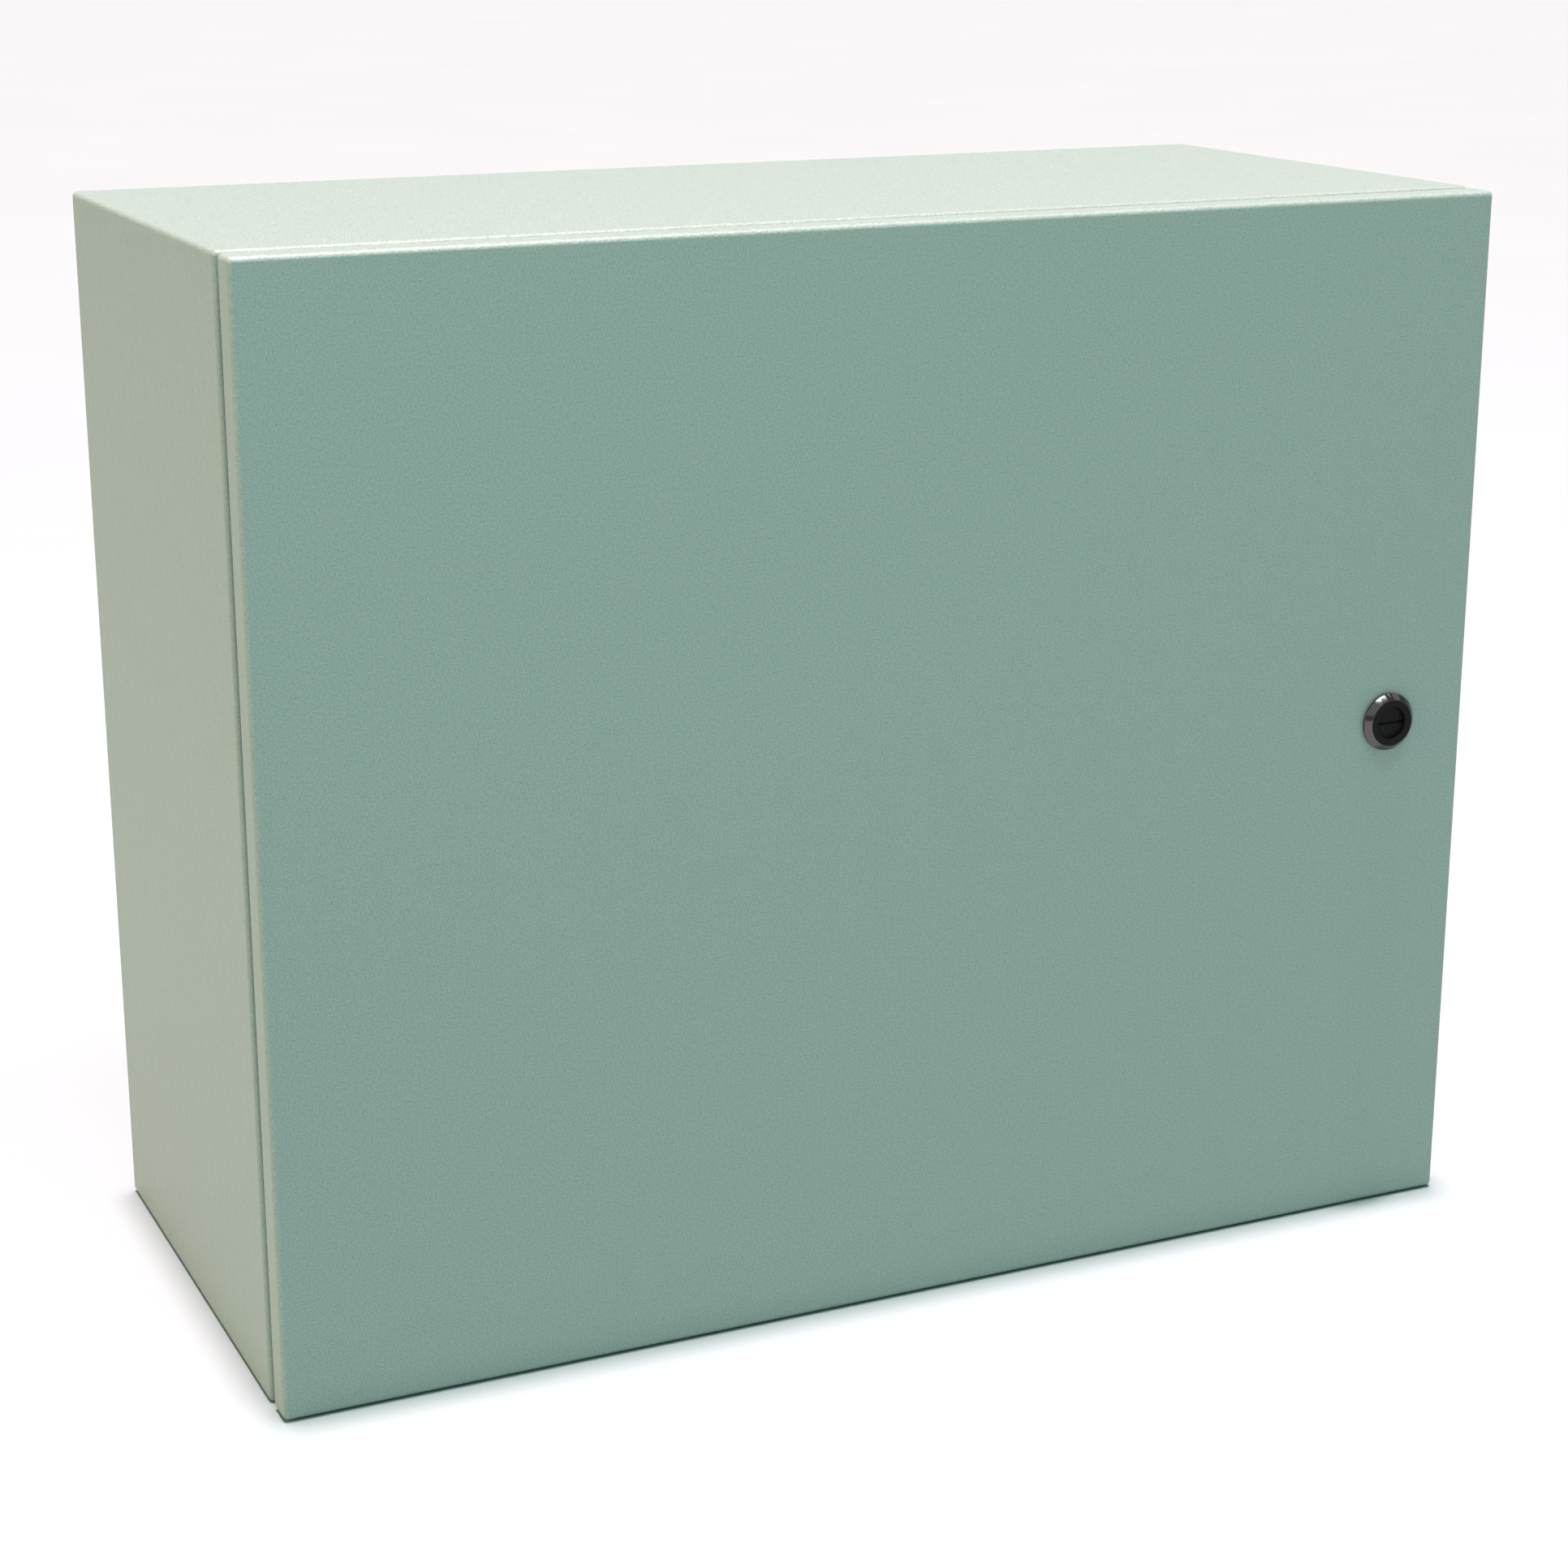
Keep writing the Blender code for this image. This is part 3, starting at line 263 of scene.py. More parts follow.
def new_material(name, colour, roughness, metallic=0.0):
    """A material, its node tree and its shader."""
    made = bpy.data.materials.new(name)
    made.use_nodes = True
    shader = made.node_tree.nodes["Principled BSDF"]
    shader.inputs["Base Color"].default_value = (*colour, 1.0)
    shader.inputs["Roughness"].default_value = roughness
    shader.inputs["Metallic"].default_value = metallic
    made.diffuse_color = (*colour, 1.0)
    return made, made.node_tree, shader


def object_place(tree):
    """The place of a point in its piece's own coordinates."""
    return add_node(tree, "ShaderNodeTexCoord").outputs["Object"]


def stretched(tree, place, scale):
    """A place with each axis scaled."""
    inputs = {"Vector": place, "Scale": scale}
    return add_node(tree, "ShaderNodeMapping", None, inputs).outputs["Vector"]


def noise(tree, place, size, detail=2.0, roughness=0.5):
    """Soft random patches of about the given size, from 0 to 1."""
    inputs = {"Vector": place, "Scale": 1 / size, "Detail": detail, "Roughness": roughness}
    return add_node(tree, "ShaderNodeTexNoise", None, inputs).outputs["Fac"]


def shades(tree, factor, stops):
    """A colour ramp with (position, colour) stops."""
    ramp = add_node(tree, "ShaderNodeValToRGB", None, {"Fac": factor})
    elements = ramp.color_ramp.elements
    while len(elements) < len(stops):
        elements.new(0.5)
    for element, (position, colour) in zip(elements, stops):
        element.position = position
        element.color = (*colour, 1.0)
    return ramp.outputs["Color"]


def spread(tree, value, low, high, start=0.3, end=0.7):
    """A value from start to end turned into one from low to high."""
    inputs = {"Value": value, "From Min": start, "From Max": end, "To Min": low, "To Max": high}
    return add_node(tree, "ShaderNodeMapRange", None, inputs).outputs["Result"]


def relief(tree, height, distance, under=None):
    """The shading of a height from 0 to 1 over the given distance, on top of another relief."""
    inputs = {"Height": height, "Distance": distance, "Strength": 1.0}
    if under:
        inputs["Normal"] = under
    return add_node(tree, "ShaderNodeBump", None, inputs).outputs["Normal"]


def toned(colour, factor):
    """A colour made lighter or darker."""
    return tuple(min(1.0, channel * factor) for channel in colour)


def powder_coat(name, colour, paint):
    """A coat with fine grain over soft waves. Its colour is lighter on the grain's tops and darker
    in its dips: partly the coat's own speckle, partly painted highlight and painted shade that
    follow the grain's relief.
    """
    made, tree, shader = new_material(name, colour, paint.roughness)
    place = object_place(tree)
    grain = noise(tree, place, paint.grain, 3.0, 0.6)
    waves = noise(tree, place, paint.peel, 1.0)
    # Speckle of the coat's own tone, plus painted highlight on the grain's tops and painted shade
    # in its dips, because the same grain also shapes the relief below.
    stops = [
        (0.32, toned(colour, 1 - paint.mottle_and_painted_light)),
        (0.50, colour),
        (0.68, toned(colour, 1 + paint.mottle_and_painted_light)),
    ]
    tree.links.new(shades(tree, grain, stops), shader.inputs["Base Color"])
    rough = spread(tree, grain, paint.roughness - 0.05, paint.roughness + 0.07)
    tree.links.new(rough, shader.inputs["Roughness"])
    bumps = relief(tree, waves, paint.peel_depth)
    bumps = relief(tree, grain, paint.grain_depth, bumps)
    tree.links.new(bumps, shader.inputs["Normal"])
    return made


def plated(name, colour, roughness=0.3):
    """Zinc plate: cloudy brightness, fine drawn lines and small specks in the roughness."""
    made, tree, shader = new_material(name, colour, roughness, 1.0)
    place = object_place(tree)
    cloud = noise(tree, place, 0.006, 3.0)
    lines = noise(tree, stretched(tree, place, (1.0, 1.0, 0.08)), 0.0003, 2.0)
    stops = [(0.3, toned(colour, 0.82)), (0.55, colour), (0.75, toned(colour, 1.15))]
    tree.links.new(shades(tree, cloud, stops), shader.inputs["Base Color"])
    rough = spread(tree, lines, roughness - 0.08, roughness + 0.14)
    tree.links.new(rough, shader.inputs["Roughness"])
    tree.links.new(relief(tree, lines, 0.00001), shader.inputs["Normal"])
    return made


def galvanised(name, colour, size):
    """Hot-dip zinc: angular crystals, each with its own brightness and roughness."""
    made, tree, shader = new_material(name, colour, 0.4, 1.0)
    place = object_place(tree)
    cells = add_node(tree, "ShaderNodeTexVoronoi", None, {"Vector": place, "Scale": 1 / size})
    parts = add_node(tree, "ShaderNodeSeparateColor", None, {"Color": cells.outputs["Color"]})
    stops = [(0.0, toned(colour, 0.78)), (0.5, colour), (1.0, toned(colour, 1.25))]
    tree.links.new(shades(tree, parts.outputs["Red"], stops), shader.inputs["Base Color"])
    rough = spread(tree, parts.outputs["Green"], 0.28, 0.52, 0.0, 1.0)
    tree.links.new(rough, shader.inputs["Roughness"])
    tree.links.new(relief(tree, noise(tree, place, 0.001), 0.00002), shader.inputs["Normal"])
    return made


def moulded(name, colour, roughness, specular=0.35):
    """Moulded or cast black: fine spark-eroded grain with slightly uneven gloss."""
    made, tree, shader = new_material(name, colour, roughness)
    shader.inputs["Specular IOR Level"].default_value = specular
    place = object_place(tree)
    grain = noise(tree, place, 0.0006, 3.0, 0.65)
    cloud = noise(tree, place, 0.0054, 2.0)
    stops = [(0.3, toned(colour, 0.75)), (0.7, toned(colour, 1.3))]
    tree.links.new(shades(tree, cloud, stops), shader.inputs["Base Color"])
    rough = spread(tree, grain, roughness - 0.07, roughness + 0.1)
    tree.links.new(rough, shader.inputs["Roughness"])
    tree.links.new(relief(tree, grain, 0.00003), shader.inputs["Normal"])
    return made


def foam_skin(name, colour):
    """Foamed polyurethane: open pores, pinholes and a dull skin, with painted shade darkening the
    pores.
    """
    made, tree, shader = new_material(name, colour, 0.85)
    shader.inputs["Specular IOR Level"].default_value = 0.25
    place = object_place(tree)
    pores = add_node(tree, "ShaderNodeTexVoronoi", None, {"Vector": place, "Scale": 1400.0})
    skin = noise(tree, place, 0.0025, 4.0, 0.6)
    # Painted shade: the colour is darkest in the pores, which the relief below sinks as pits, and
    # lighter on the skin between them.
    stops = [(0.05, toned(colour, 0.35)), (0.35, colour), (0.8, toned(colour, 1.5))]
    tree.links.new(shades(tree, pores.outputs["Distance"], stops), shader.inputs["Base Color"])
    tree.links.new(spread(tree, skin, 0.74, 0.94), shader.inputs["Roughness"])
    bumps = relief(tree, skin, 0.0003)
    bumps = relief(tree, pores.outputs["Distance"], 0.00025, bumps)
    tree.links.new(bumps, shader.inputs["Normal"])
    return made


def bezel_metal(name, chrome, black):
    """Dark chrome on the bezel's slope; black on its flat face, in its recess and on its barrel."""
    made, tree, shader = new_material(name, chrome, 0.12, 1.0)
    place = object_place(tree)
    to_centre = (-LATCH_CENTRE.x, 0, -LATCH_CENTRE.z)
    inputs = {"Vector": place, "Location": to_centre, "Scale": (1, 0, 1)}
    centred = add_node(tree, "ShaderNodeMapping", None, inputs).outputs["Vector"]
    radius = add_node(tree, "ShaderNodeVectorMath", {"operation": "LENGTH"}, {0: centred})
    distance = radius.outputs["Value"]
    on_slope = spread(tree, distance, 0.0, 1.0, BEZEL_BLACK_END, BEZEL_CHROME_START)
    stops = [(0.0, black), (1.0, chrome)]
    tree.links.new(shades(tree, on_slope, stops), shader.inputs["Base Color"])
    tree.links.new(on_slope, shader.inputs["Metallic"])
    swirl = noise(tree, place, 0.0012, 3.0)
    base = spread(tree, on_slope, 0.55, 0.07, 0.0, 1.0)
    inputs = {0: swirl, 1: 0.08, 2: base}
    rough = add_node(tree, "ShaderNodeMath", {"operation": "MULTIPLY_ADD"}, inputs).outputs[0]
    tree.links.new(rough, shader.inputs["Roughness"])
    tree.links.new(relief(tree, swirl, 0.000008), shader.inputs["Normal"])
    shader.inputs["Specular IOR Level"].default_value = 0.12
    return made


def rounded_shading():
    """A node group that shades a CAD node's loose triangles as joined, smooth sheet."""
    tree = bpy.data.node_groups.new("rounded_shading", "GeometryNodeTree")
    tree.interface.new_socket("Geometry", in_out="INPUT", socket_type="NodeSocketGeometry")
    tree.interface.new_socket("Geometry", in_out="OUTPUT", socket_type="NodeSocketGeometry")
    start = add_node(tree, "NodeGroupInput").outputs["Geometry"]

    def step(kind, settings, inputs):
        return add_node(tree, kind, settings, inputs).outputs["Geometry"]

    inputs = {"Geometry": start, "Name": "custom_normal"}
    bare = step("GeometryNodeRemoveAttribute", None, inputs)
    inputs = {"Geometry": bare, "Distance": JOIN_DISTANCE}
    joined = step("GeometryNodeMergeByDistance", None, inputs)
    inputs = {"Geometry": joined, "Shade Smooth": True}
    smooth = step("GeometryNodeSetShadeSmooth", {"domain": "FACE"}, inputs)
    bend = add_node(tree, "GeometryNodeInputMeshEdgeAngle").outputs["Unsigned Angle"]
    inputs = {"A": bend, "B": CRISP_ANGLE}
    sharp = add_node(tree, "FunctionNodeCompare", {"operation": "GREATER_THAN"}, inputs)
    inputs = {"Geometry": smooth, "Selection": sharp.outputs["Result"], "Shade Smooth": False}
    done = step("GeometryNodeSetShadeSmooth", {"domain": "EDGE"}, inputs)
    add_node(tree, "NodeGroupOutput", None, {"Geometry": done})
    return tree


def dress(names, material):
    """Gives CAD nodes a material, and shading that is round on bends and even on flats."""
    shading = bpy.data.node_groups.get("rounded_shading") or rounded_shading()
    for name in names:
        node = NODES[name]
        for slot in node.material_slots:
            slot.material = material
        node.modifiers.new("rounded", "NODES").node_group = shading
        even = node.modifiers.new("even", "WEIGHTED_NORMAL")
        even.mode = "FACE_AREA"
        even.keep_sharp = True


# ------------------------------------------------------------------ surfaces


def surface(name, grid, material, body, stands_for=(), wrap_rows=False, sharp=30.0):
    """A closed piece from a grid of points, shape (rows, columns, 3). Columns run round and join
    up. Rows join up too, or else each end is closed with a fan of triangles to its centre."""
    rows, columns = grid.shape[:2]
    index = np.arange(rows * columns).reshape(rows, columns)
    below = np.roll(index, -1, 0) if wrap_rows else index[1:]
    above = index if wrap_rows else index[:-1]
    quads = [above, np.roll(above, -1, 1), np.roll(below, -1, 1), below]
    quads = np.stack(quads, -1).reshape(-1, 4)
    points = grid.reshape(-1, 3)
    fans = np.zeros((0, 3), int)
    if not wrap_rows:
        first, last = index[0], index[-1]
        centres = np.array([grid[0].mean(0), grid[-1].mean(0)])
        points = np.concatenate([points, centres])
        top = np.stack([np.roll(first, -1), first, np.full(columns, rows * columns)], -1)
        bottom = np.stack([last, np.roll(last, -1), np.full(columns, rows * columns + 1)], -1)
        fans = np.concatenate([top, bottom])
    triangles = np.concatenate([quads[:, :3], quads[:, [0, 2, 3]], fans])
    corners = points[triangles] - points.mean(0)
    if np.einsum("ij,ij->i", corners[:, 0], np.cross(corners[:, 1], corners[:, 2])).sum() < 0:
        quads, fans = quads[:, ::-1], fans[:, ::-1]
    mesh = bpy.data.meshes.new(name)
    mesh.from_pydata(points.tolist(), [], quads.tolist() + fans.tolist())
    mesh.shade_smooth()
    mesh.set_sharp_from_angle(angle=math.radians(sharp))
    mesh.materials.append(material)
    made = bpy.data.objects.new(name, mesh)
    bpy.context.scene.collection.objects.link(made)
    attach(made, body)
    if stands_for:
        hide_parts(*stands_for)
    return made


def along_y(radii, heights, turns, centre, out):
    """Points of a piece turned about an axis that runs along Y. radii has shape (rows, columns)
    and heights one value a row; out is -1 for a piece that points away from the wall, 1 for one
    that points towards it."""
    x = centre[0] + radii * np.cos(turns)[None, :]
    z = centre[2] + radii * np.sin(turns)[None, :]
    y = np.broadcast_to((centre[1] + out * heights)[:, None], radii.shape)
    return np.stack([x, y, z], -1)


def threaded_stud(name, body, material, out, radius, pitch, depth, foot):
    """A stud with a helical thread. Its radius at angle t and height h is the outer radius less
    the thread's depth times a clipped triangle wave of h / pitch - t / one turn; the wave fades
    in above the foot and out at the tip. foot is (radius, height) of the plain base."""
    low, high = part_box(name)
    centre = (low + high) / 2
    base_y = high.y if out < 0 else low.y
    tall = high.y - low.y
    foot_radius, foot_height = foot
    turns = np.linspace(0, 2 * np.pi, THREAD_SIDES, endpoint=False)
    steps = int((tall - foot_height) / pitch * THREAD_ROWS)
    heights = np.linspace(foot_height, tall, steps)
    phase = (heights[:, None] / pitch - turns[None, :] / (2 * np.pi)) % 1.0
    wave = np.clip(np.abs(2 * phase - 1) * THREAD_STEEPNESS - THREAD_ROOT, 0, 1)
    fade = np.clip((heights - foot_height) / pitch, 0, 1)
    fade = fade * np.clip((tall - heights) / pitch * 2, 0, 1)
    tip = np.clip(1 - (tall - heights) / (radius * 0.3), 0, 1) * radius * 0.25
    radii = radius - (1 - wave) * depth * pitch * fade[:, None] - tip[:, None]
    if foot_height:
        inner = foot_radius - FOOT_EDGE
        plain = np.array([inner, foot_radius, foot_radius, inner, radius])
        shoulder = foot_height - FOOT_EDGE
        plain_heights = np.array([0.0, FOOT_EDGE, shoulder, foot_height, foot_height])
        radii = np.concatenate([np.repeat(plain[:, None], len(turns), 1), radii[1:]])
        heights = np.concatenate([plain_heights, heights[1:]])
    grid = along_y(radii, heights, turns, (centre.x, base_y, centre.z), out)
    surface(f"{name}_threaded", grid, material, body, [name], sharp=50)


def hexagon(turns, flats):
    """Distance from the centre to a hexagon's outline: half the flats over the cosine of the
    angle from the nearest flat's middle."""
    sixth = np.pi / 3
    return flats / 2 / np.cos((turns + sixth / 2) % sixth - sixth / 2)


def chamfered_nut(name, body, material, out, flats, bore, flange):
    """A hexagon nut: the outline is a hexagon cut by a cone at its outer end, so each corner has
    a curved chamfer, and the bore has a chamfer at both ends. flange is (radius, thickness) or
    None; a nut without one is chamfered at its seat too."""
    low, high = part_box(name)
    centre = (low + high) / 2
    seat_y = high.y if out < 0 else low.y
    tall = high.y - low.y
    turns = np.linspace(0, 2 * np.pi, NUT_SIDES, endpoint=False)
    outline = hexagon(turns, flats)
    cone_top = flats / 2 * NUT_FACE
    corner = outline.max() - cone_top
    lip = bore * 0.08
    ones = np.ones_like(turns)
    rows = [(0.0, (bore + lip) * ones)]
    if flange:
        radius, thick = flange
        rows += [(0.0, (radius - 0.0002) * ones), (0.0002, radius * ones)]
        rows += [(thick * 0.7, radius * ones), (thick, (radius - thick * 0.4) * ones)]
        rows += [(thick * 1.25, np.maximum(outline, radius - thick * 1.6)), (thick * 1.6, outline)]
    else:
        for part in np.linspace(0, 1, 6):
            cone = np.minimum(outline, cone_top + part * corner)
            rows.append((part * corner * NUT_CHAMFER, cone))
    for part in np.linspace(1, 0, 8):
        cone = np.minimum(outline, cone_top + part * corner)
        rows.append((tall - part * corner * NUT_CHAMFER, cone))
    rows += [(tall, (bore + lip) * ones), (tall - lip, bore * ones), (lip, bore * ones)]
    heights = np.array([h for h, _ in rows])
    radii = np.array([r for _, r in rows])
    grid = along_y(radii, heights, turns, (centre.x, seat_y, centre.z), out)
    made = f"{name}_chamfered"
    surface(made, grid, material, body, [name], wrap_rows=True, sharp=28)


def foam_bead(seal, material):
    """The gasket: a domed section carried round a rounded rectangle. The section is a
    superellipse with a crease where the lip presses, and its size ripples along the path."""
    low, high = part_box("door_gasket")
    half = np.array([high.x - low.x, high.z - low.z]) / 2 - GASKET_WIDTH / 2
    centre = (low + high) / 2
    quarter = np.linspace(0, np.pi / 2, 13)
    side_x = np.linspace(-1, 1, 90)[1:-1] * (half[0] - GASKET_CORNER)
    side_z = np.linspace(-1, 1, 76)[1:-1] * (half[1] - GASKET_CORNER)
    pieces = []
    for turn in range(4):
        angles = quarter + turn * np.pi / 2
        hub = (half - GASKET_CORNER) * ((1, 1), (-1, 1), (-1, -1), (1, -1))[turn]
        normals = np.stack([np.cos(angles), np.sin(angles)], -1)
        pieces.append(np.concatenate([hub + GASKET_CORNER * normals, normals], -1))
        run = (side_x[::-1], side_z[::-1], side_x, side_z)[turn]
        flat_normal = np.broadcast_to(((0, 1), (-1, 0), (0, -1), (1, 0))[turn], (len(run), 2))
        if turn % 2 == 0:
            edge = np.stack([run, np.full_like(run, half[1] * (1 - turn))], -1)
        else:
            edge = np.stack([np.full_like(run, half[0] * (turn - 2)), run], -1)
        pieces.append(np.concatenate([edge, flat_normal], -1))
    path = np.concatenate(pieces)
    steps = np.linspace(0, 2 * np.pi, len(path), endpoint=False)
    waves = np.sin(37 * steps) + 0.6 * np.sin(91 * steps + 1) + 0.4 * np.sin(173 * steps)
    ripple = seal.ripple * waves
    around = np.linspace(0, np.pi, 19)
    across = np.sign(np.cos(around)) * np.abs(np.cos(around)) ** SECTION_ACROSS
    rise = np.abs(np.sin(around)) ** SECTION_RISE
    across = np.concatenate([across, [-0.6, -0.2, 0.2, 0.6]])
    rise = np.concatenate([rise, np.zeros(4)])
    tall = high.y - low.y
    crease = np.exp(-((across * GASKET_WIDTH / 2 / CREASE_REACH) ** 2))
    crease = seal.crease * crease * (rise > 0.5)
    reach = (GASKET_WIDTH / 2 - 0.0004 + ripple)[:, None] * across[None, :]
    x = centre.x + path[:, 0:1] + reach * path[:, 2:3]
    z = centre.z + path[:, 1:2] + reach * path[:, 3:4]
    lift = rise[None, :] * (tall - 0.0003 + np.minimum(ripple, 0.0)[:, None]) - crease[None, :]
    y = low.y + np.maximum(lift, 0.0)
    grid = np.stack([x, y, z], -1)
    surface("gasket_bead", grid, material, "door", ["door_gasket"], wrap_rows=True)


# ------------------------------------------------------------------ operators


class EnclosureOperator:
    bl_options = {"REGISTER", "UNDO"}


class ENCLOSURE_OT_paint(EnclosureOperator, bpy.types.Operator):
    """Powder-coat the body, the back wall and the door"""

    bl_idname = "enclosure.paint"
    bl_label = "Paint"

    def execute(self, context):
        paint = context.scene.enclosure_paint
        dress(PAINTED, powder_coat("powder_coat", paint.colour, paint))
        return {"FINISHED"}


class ENCLOSURE_OT_panel(EnclosureOperator, bpy.types.Operator):
    """Finish the mounting panel in white powder coat"""

    bl_idname = "enclosure.panel"
    bl_label = "Mounting panel"

    def execute(self, context):
        paint = context.scene.enclosure_paint
        dress(["mounting_panel"], powder_coat("panel_coat", paint.panel_colour, paint))
        return {"FINISHED"}


class ENCLOSURE_OT_rails(EnclosureOperator, bpy.types.Operator):
    """Galvanise the door's stiffening rails"""

    bl_idname = "enclosure.rails"
    bl_label = "Door rails"

    def execute(self, context):
        metal = context.scene.enclosure_metal
        names = [name for name in NODES if name.startswith("door_rail")]
        dress(names, galvanised("galvanised_steel", metal.galvanised, metal.spangle))
        return {"FINISHED"}


class ENCLOSURE_OT_hinges(EnclosureOperator, bpy.types.Operator):
    """Zinc-plate the hinges, their screws and the latch's cam"""

    bl_idname = "enclosure.hinges"
    bl_label = "Hinges and cam"

    def execute(self, context):
        metal = context.scene.enclosure_metal
        plate = plated("zinc_plate", metal.zinc)
        starts = ("hinge_body_leaf", "hinge_door_leaf", "hinge_pin", "hinge_screw")
        starts += ("cam_", "latch_cam")
        dress([name for name in NODES if name.startswith(starts)], plate)
        dress([name for name in NODES if name.startswith("earth_washer")], plate)
        return {"FINISHED"}


class ENCLOSURE_OT_fasteners(EnclosureOperator, bpy.types.Operator):
    """Cut the threads of the studs and the chamfers of the nuts"""

    bl_idname = "enclosure.fasteners"
    bl_label = "Studs and nuts"

    def execute(self, context):
        metal = context.scene.enclosure_metal
        plate = plated("bright_zinc_plate", toned(metal.zinc, 1.1), 0.24)
        for name in sorted(NODES):
            body = NODES[name]["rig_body"]
            out = 1 if body == "door" or name.startswith("hinge_nut") else -1
            nuts = [sizes for kind, sizes in NUTS.items() if name.startswith(kind)]
            studs = [sizes for kind, sizes in STUDS.items() if name.startswith(kind)]
            if nuts:
                flats, bore, flange = nuts[0]
                chamfered_nut(name, body, plate, out, flats, bore, flange)
            elif studs:
                radius, pitch, foot = studs[0]
                threaded_stud(name, body, plate, out, radius, pitch, metal.thread_depth, foot)
        return {"FINISHED"}


class ENCLOSURE_OT_latch(EnclosureOperator, bpy.types.Operator):
    """Chrome the latch's bezel and blacken its face, insert and seal"""

    bl_idname = "enclosure.latch"
    bl_label = "Latch"

    def execute(self, context):
        metal = context.scene.enclosure_metal
        black = context.scene.enclosure_seal.black
        dress(["latch_housing"], bezel_metal("dark_chrome", metal.chrome, black))
        dress(["latch_driver"], moulded("latch_black", black, 0.55, specular=0.12))
        dress(["latch_seal"], moulded("seal_rubber", toned(black, 0.8), 0.6))
        return {"FINISHED"}


class ENCLOSURE_OT_plugs(EnclosureOperator, bpy.types.Operator):
    """Mould the plugs of the wall fixing holes in black nylon"""

    bl_idname = "enclosure.plugs"
    bl_label = "Wall plugs"

    def execute(self, context):
        names = [name for name in NODES if name.startswith("wall_plug")]
        black = context.scene.enclosure_seal.black
        dress(names, moulded("black_nylon", toned(black, 1.6), 0.5))
        return {"FINISHED"}


class ENCLOSURE_OT_gasket(EnclosureOperator, bpy.types.Operator):
    """Foam the gasket bead round the inside of the door"""

    bl_idname = "enclosure.gasket"
    bl_label = "Gasket"

    def execute(self, context):
        seal = context.scene.enclosure_seal
        foam_bead(seal, foam_skin("gasket_foam", seal.foam))
        return {"FINISHED"}


class ENCLOSURE_OT_stage(EnclosureOperator, bpy.types.Operator):
    """Set the floor, the lights and the camera"""

    bl_idname = "enclosure.stage"
    bl_label = "Studio"

    def execute(self, context):
        studio = context.scene.enclosure_studio
        build_floor(studio)
        build_lights(context.scene, studio)
        build_camera(context.scene, studio)
        context.scene.view_settings.view_transform = "Standard"
        return {"FINISHED"}


def build_floor(studio):
    """A disc of floor, its rings at growing distances from the centre, under the enclosure."""
    turns = np.linspace(0, 2 * np.pi, 64, endpoint=False)
    radii = np.array([0.02, 0.5, 1.5, 5.0, 50.0, 500.0, 500.0, 0.02])
    depths = np.array([0.0, 0.0, 0.0, 0.0, 0.0, 0.0, FLOOR_THICKNESS, FLOOR_THICKNESS])
    heights = CAD_BOX[0][2] - FLOOR_GAP - depths
    x = radii[:, None] * np.cos(turns)
    y = radii[:, None] * np.sin(turns)
    z = np.broadcast_to(heights[:, None], x.shape)
    made, tree, shader = new_material("studio_floor", studio.floor, 0.9)
    shader.inputs["Specular IOR Level"].default_value = 0.1
    cloud = noise(tree, object_place(tree), 0.4, 3.0)
    stops = [(0.3, toned(studio.floor, 0.99)), (0.7, toned(studio.floor, 1.01))]
    tree.links.new(shades(tree, cloud, stops), shader.inputs["Base Color"])
    rows, columns = x.shape
    index = np.arange(rows * columns).reshape(rows, columns)
    inner, outer = index[:-1], index[1:]
    quads = np.stack([inner, np.roll(inner, -1, 1), np.roll(outer, -1, 1), outer], -1)
    faces = quads.reshape(-1, 4)[:, ::-1].tolist()
    faces += [index[0].tolist(), index[-1][::-1].tolist()]
    mesh = bpy.data.meshes.new("studio_floor")
    mesh.from_pydata(np.stack([x, y, z], -1).reshape(-1, 3).tolist(), [], faces)
    mesh.materials.append(made)
    floor = bpy.data.objects.new("studio_floor", mesh)
    bpy.context.scene.collection.objects.link(floor)


def add_sun(name, tint, strength, towards, spread_degrees):
    """A distant light that shines along a direction, from a disc of the given angle."""
    lamp = bpy.data.lights.new(name, "SUN")
    lamp.color = tint
    lamp.energy = strength
    lamp.angle = math.radians(spread_degrees)
    made = bpy.data.objects.new(name, lamp)
    made.rotation_euler = Vector(towards).to_track_quat("-Z", "Y").to_euler()
    made.location = -Vector(towards) * 3
    bpy.context.scene.collection.objects.link(made)


def add_box_light(name, tint, watts, direction, distance, size, roll_degrees):
    """A rectangular light that faces the latch from the given direction and distance."""
    lamp = bpy.data.lights.new(name, "AREA")
    lamp.shape = "RECTANGLE"
    lamp.size, lamp.size_y = size
    lamp.energy = watts
    lamp.color = tint
    away = Vector(direction).normalized()
    made = bpy.data.objects.new(name, lamp)
    made.location = LATCH_CENTRE + away * distance
    roll = Quaternion((0, 0, 1), math.radians(roll_degrees))
    made.rotation_euler = ((-away).to_track_quat("-Z", "Y") @ roll).to_euler()
    made.visible_camera = False
    bpy.context.scene.collection.objects.link(made)


def build_lights(scene, studio):
    """Light from all round, two distant lights and five box lights."""
    world = bpy.data.worlds.new("studio_surround")
    world.use_nodes = True
    background = world.node_tree.nodes["Background"]
    background.inputs["Color"].default_value = (*studio.surround, 1.0)
    scene.world = world
    for key, setup in DISTANT_LIGHTS.items():
        tint, strength = getattr(studio, key), getattr(studio, f"{key}_power")
        add_sun(f"{key}_light", tint, strength, *setup)
    for key, setup in BOX_LIGHTS.items():
        tint, watts = getattr(studio, key), getattr(studio, f"{key}_power")
        add_box_light(f"{key}_light", tint, watts, *setup)


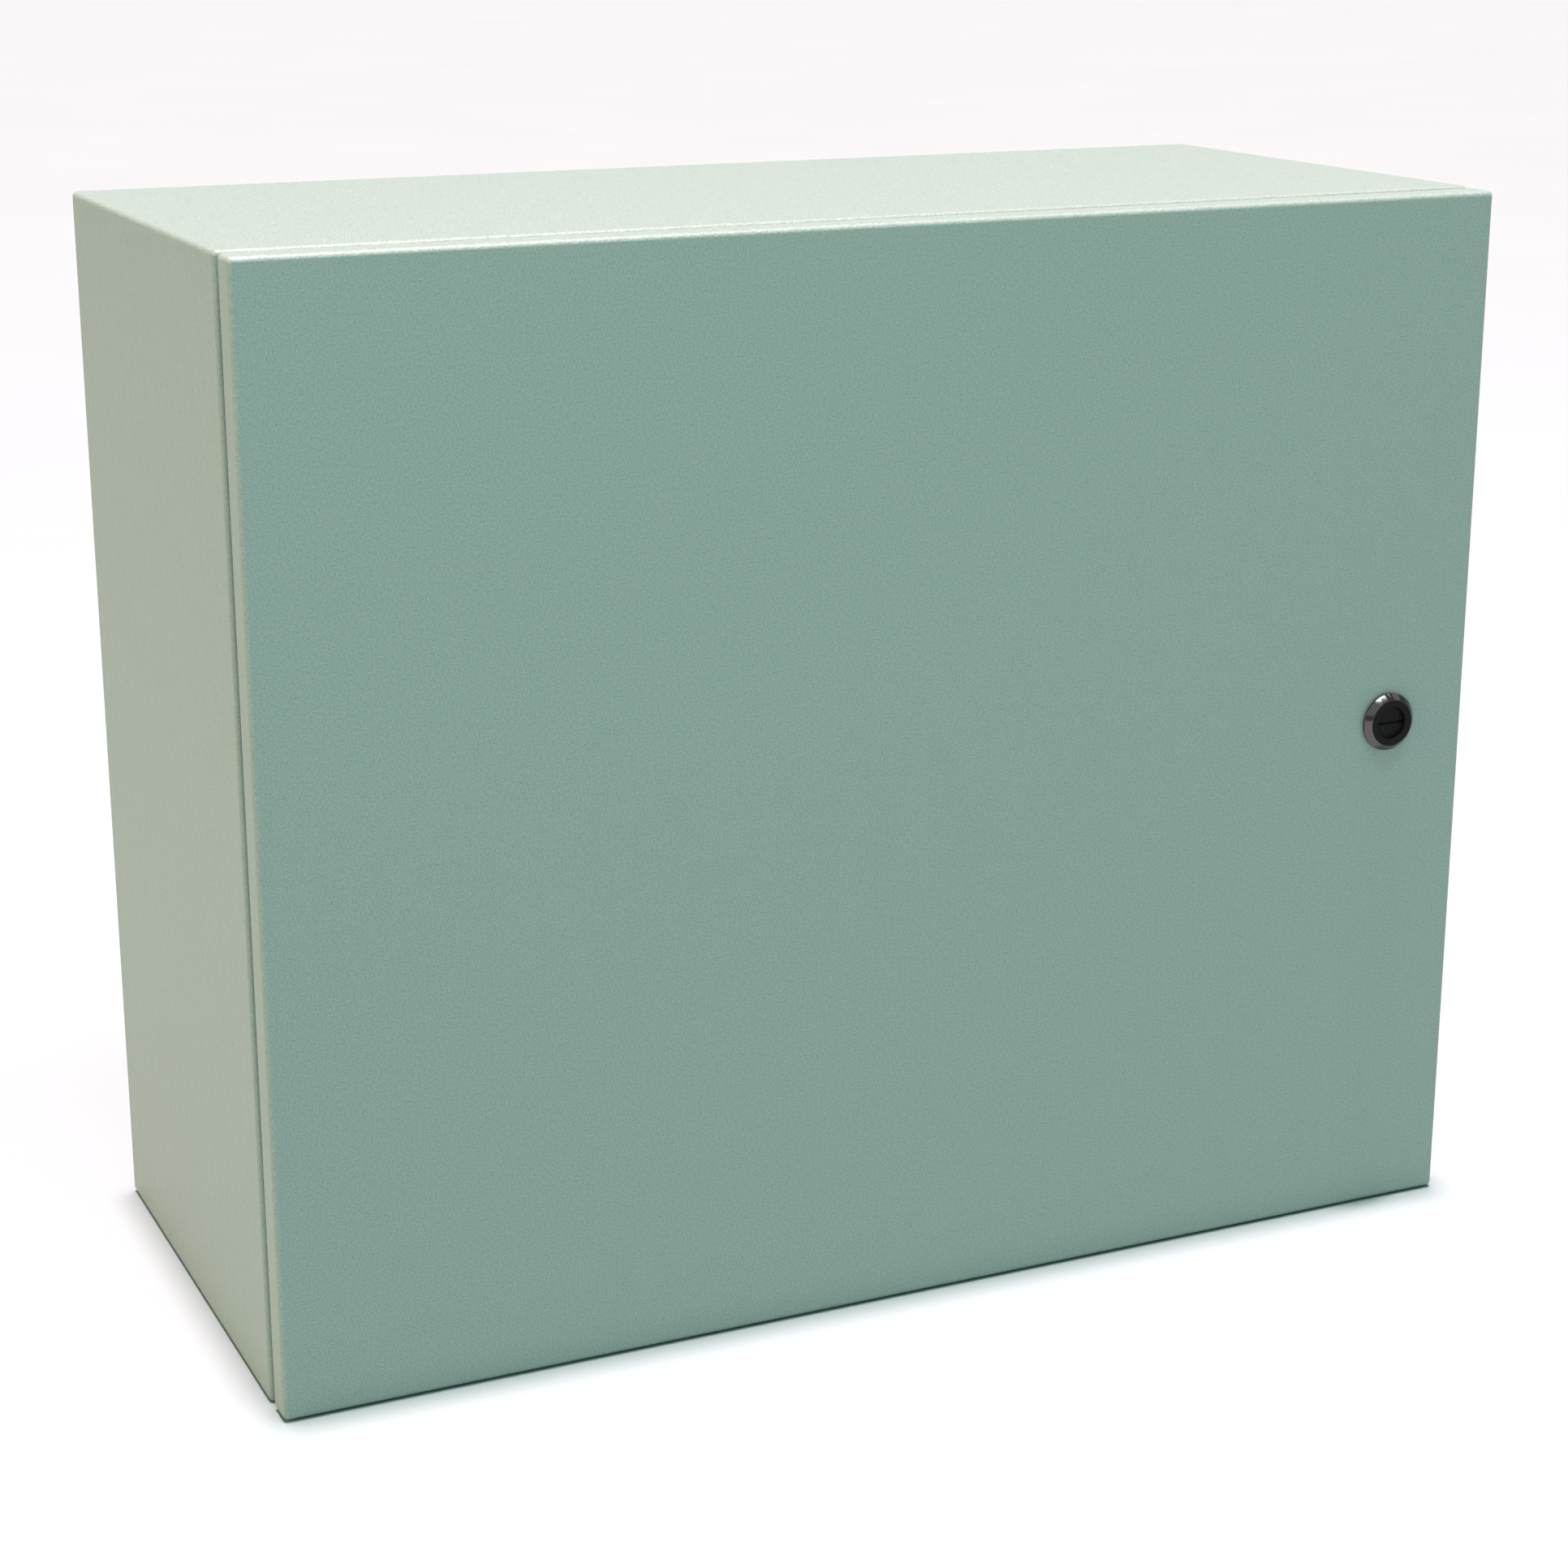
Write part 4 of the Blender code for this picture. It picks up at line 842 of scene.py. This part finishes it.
def build_camera(scene, studio):
    """The camera, with its axes worked out from azimuth, elevation and roll."""
    azimuth, elevation, roll = studio.azimuth, studio.elevation, studio.roll
    flat = math.cos(elevation)
    back = Vector((math.sin(azimuth) * flat, -math.cos(azimuth) * flat, math.sin(elevation)))
    right = Vector((0, 0, 1)).cross(back).normalized()
    up = back.cross(right)
    side = math.cos(roll) * right + math.sin(roll) * up
    top = math.cos(roll) * up - math.sin(roll) * right
    lens = bpy.data.cameras.new("studio_camera")
    lens.lens = studio.focal_length
    lens.sensor_width = SENSOR_WIDTH
    lens.shift_x = studio.shift_x
    lens.shift_y = studio.shift_y
    lens.clip_end = VIEW_DISTANCE
    made = bpy.data.objects.new("studio_camera", lens)
    turn = Matrix((side, top, back)).transposed().to_4x4()
    made.matrix_world = Matrix.Translation(studio.camera_place) @ turn
    scene.collection.objects.link(made)
    scene.camera = made


class ENCLOSURE_PT_sidebar(bpy.types.Panel):
    """Settings and steps of the enclosure"""

    bl_idname = "ENCLOSURE_PT_sidebar"
    bl_label = "Steel enclosure"
    bl_space_type = "VIEW_3D"
    bl_region_type = "UI"
    bl_category = "Enclosure"

    def draw(self, context):
        for attribute, group in SETTINGS.items():
            box = self.layout.box()
            box.label(text=attribute.replace("enclosure_", "").capitalize())
            for key in group.__annotations__:
                box.prop(getattr(context.scene, attribute), key)
        for step in STEPS:
            self.layout.operator(step.bl_idname)


SETTINGS = {
    "enclosure_paint": EnclosurePaintSettings,
    "enclosure_metal": EnclosureMetalSettings,
    "enclosure_seal": EnclosureSealSettings,
    "enclosure_studio": EnclosureStudioSettings,
}
STEPS = (
    ENCLOSURE_OT_stage,
    ENCLOSURE_OT_paint,
    ENCLOSURE_OT_panel,
    ENCLOSURE_OT_rails,
    ENCLOSURE_OT_hinges,
    ENCLOSURE_OT_fasteners,
    ENCLOSURE_OT_latch,
    ENCLOSURE_OT_plugs,
    ENCLOSURE_OT_gasket,
)


def register():
    for group in SETTINGS.values():
        bpy.utils.register_class(group)
    for attribute, group in SETTINGS.items():
        setattr(bpy.types.Scene, attribute, bpy.props.PointerProperty(type=group))
    for step in STEPS:
        bpy.utils.register_class(step)
    bpy.utils.register_class(ENCLOSURE_PT_sidebar)


def unregister():
    bpy.utils.unregister_class(ENCLOSURE_PT_sidebar)
    for step in reversed(STEPS):
        bpy.utils.unregister_class(step)
    for attribute, group in SETTINGS.items():
        delattr(bpy.types.Scene, attribute)
        bpy.utils.unregister_class(group)


def main():
    register()
    for step in STEPS:
        family, name = step.bl_idname.split(".")
        if getattr(getattr(bpy.ops, family), name)() != {"FINISHED"}:
            raise RuntimeError(f"{step.bl_label} did not finish")


if __name__ == "__main__":
    main()
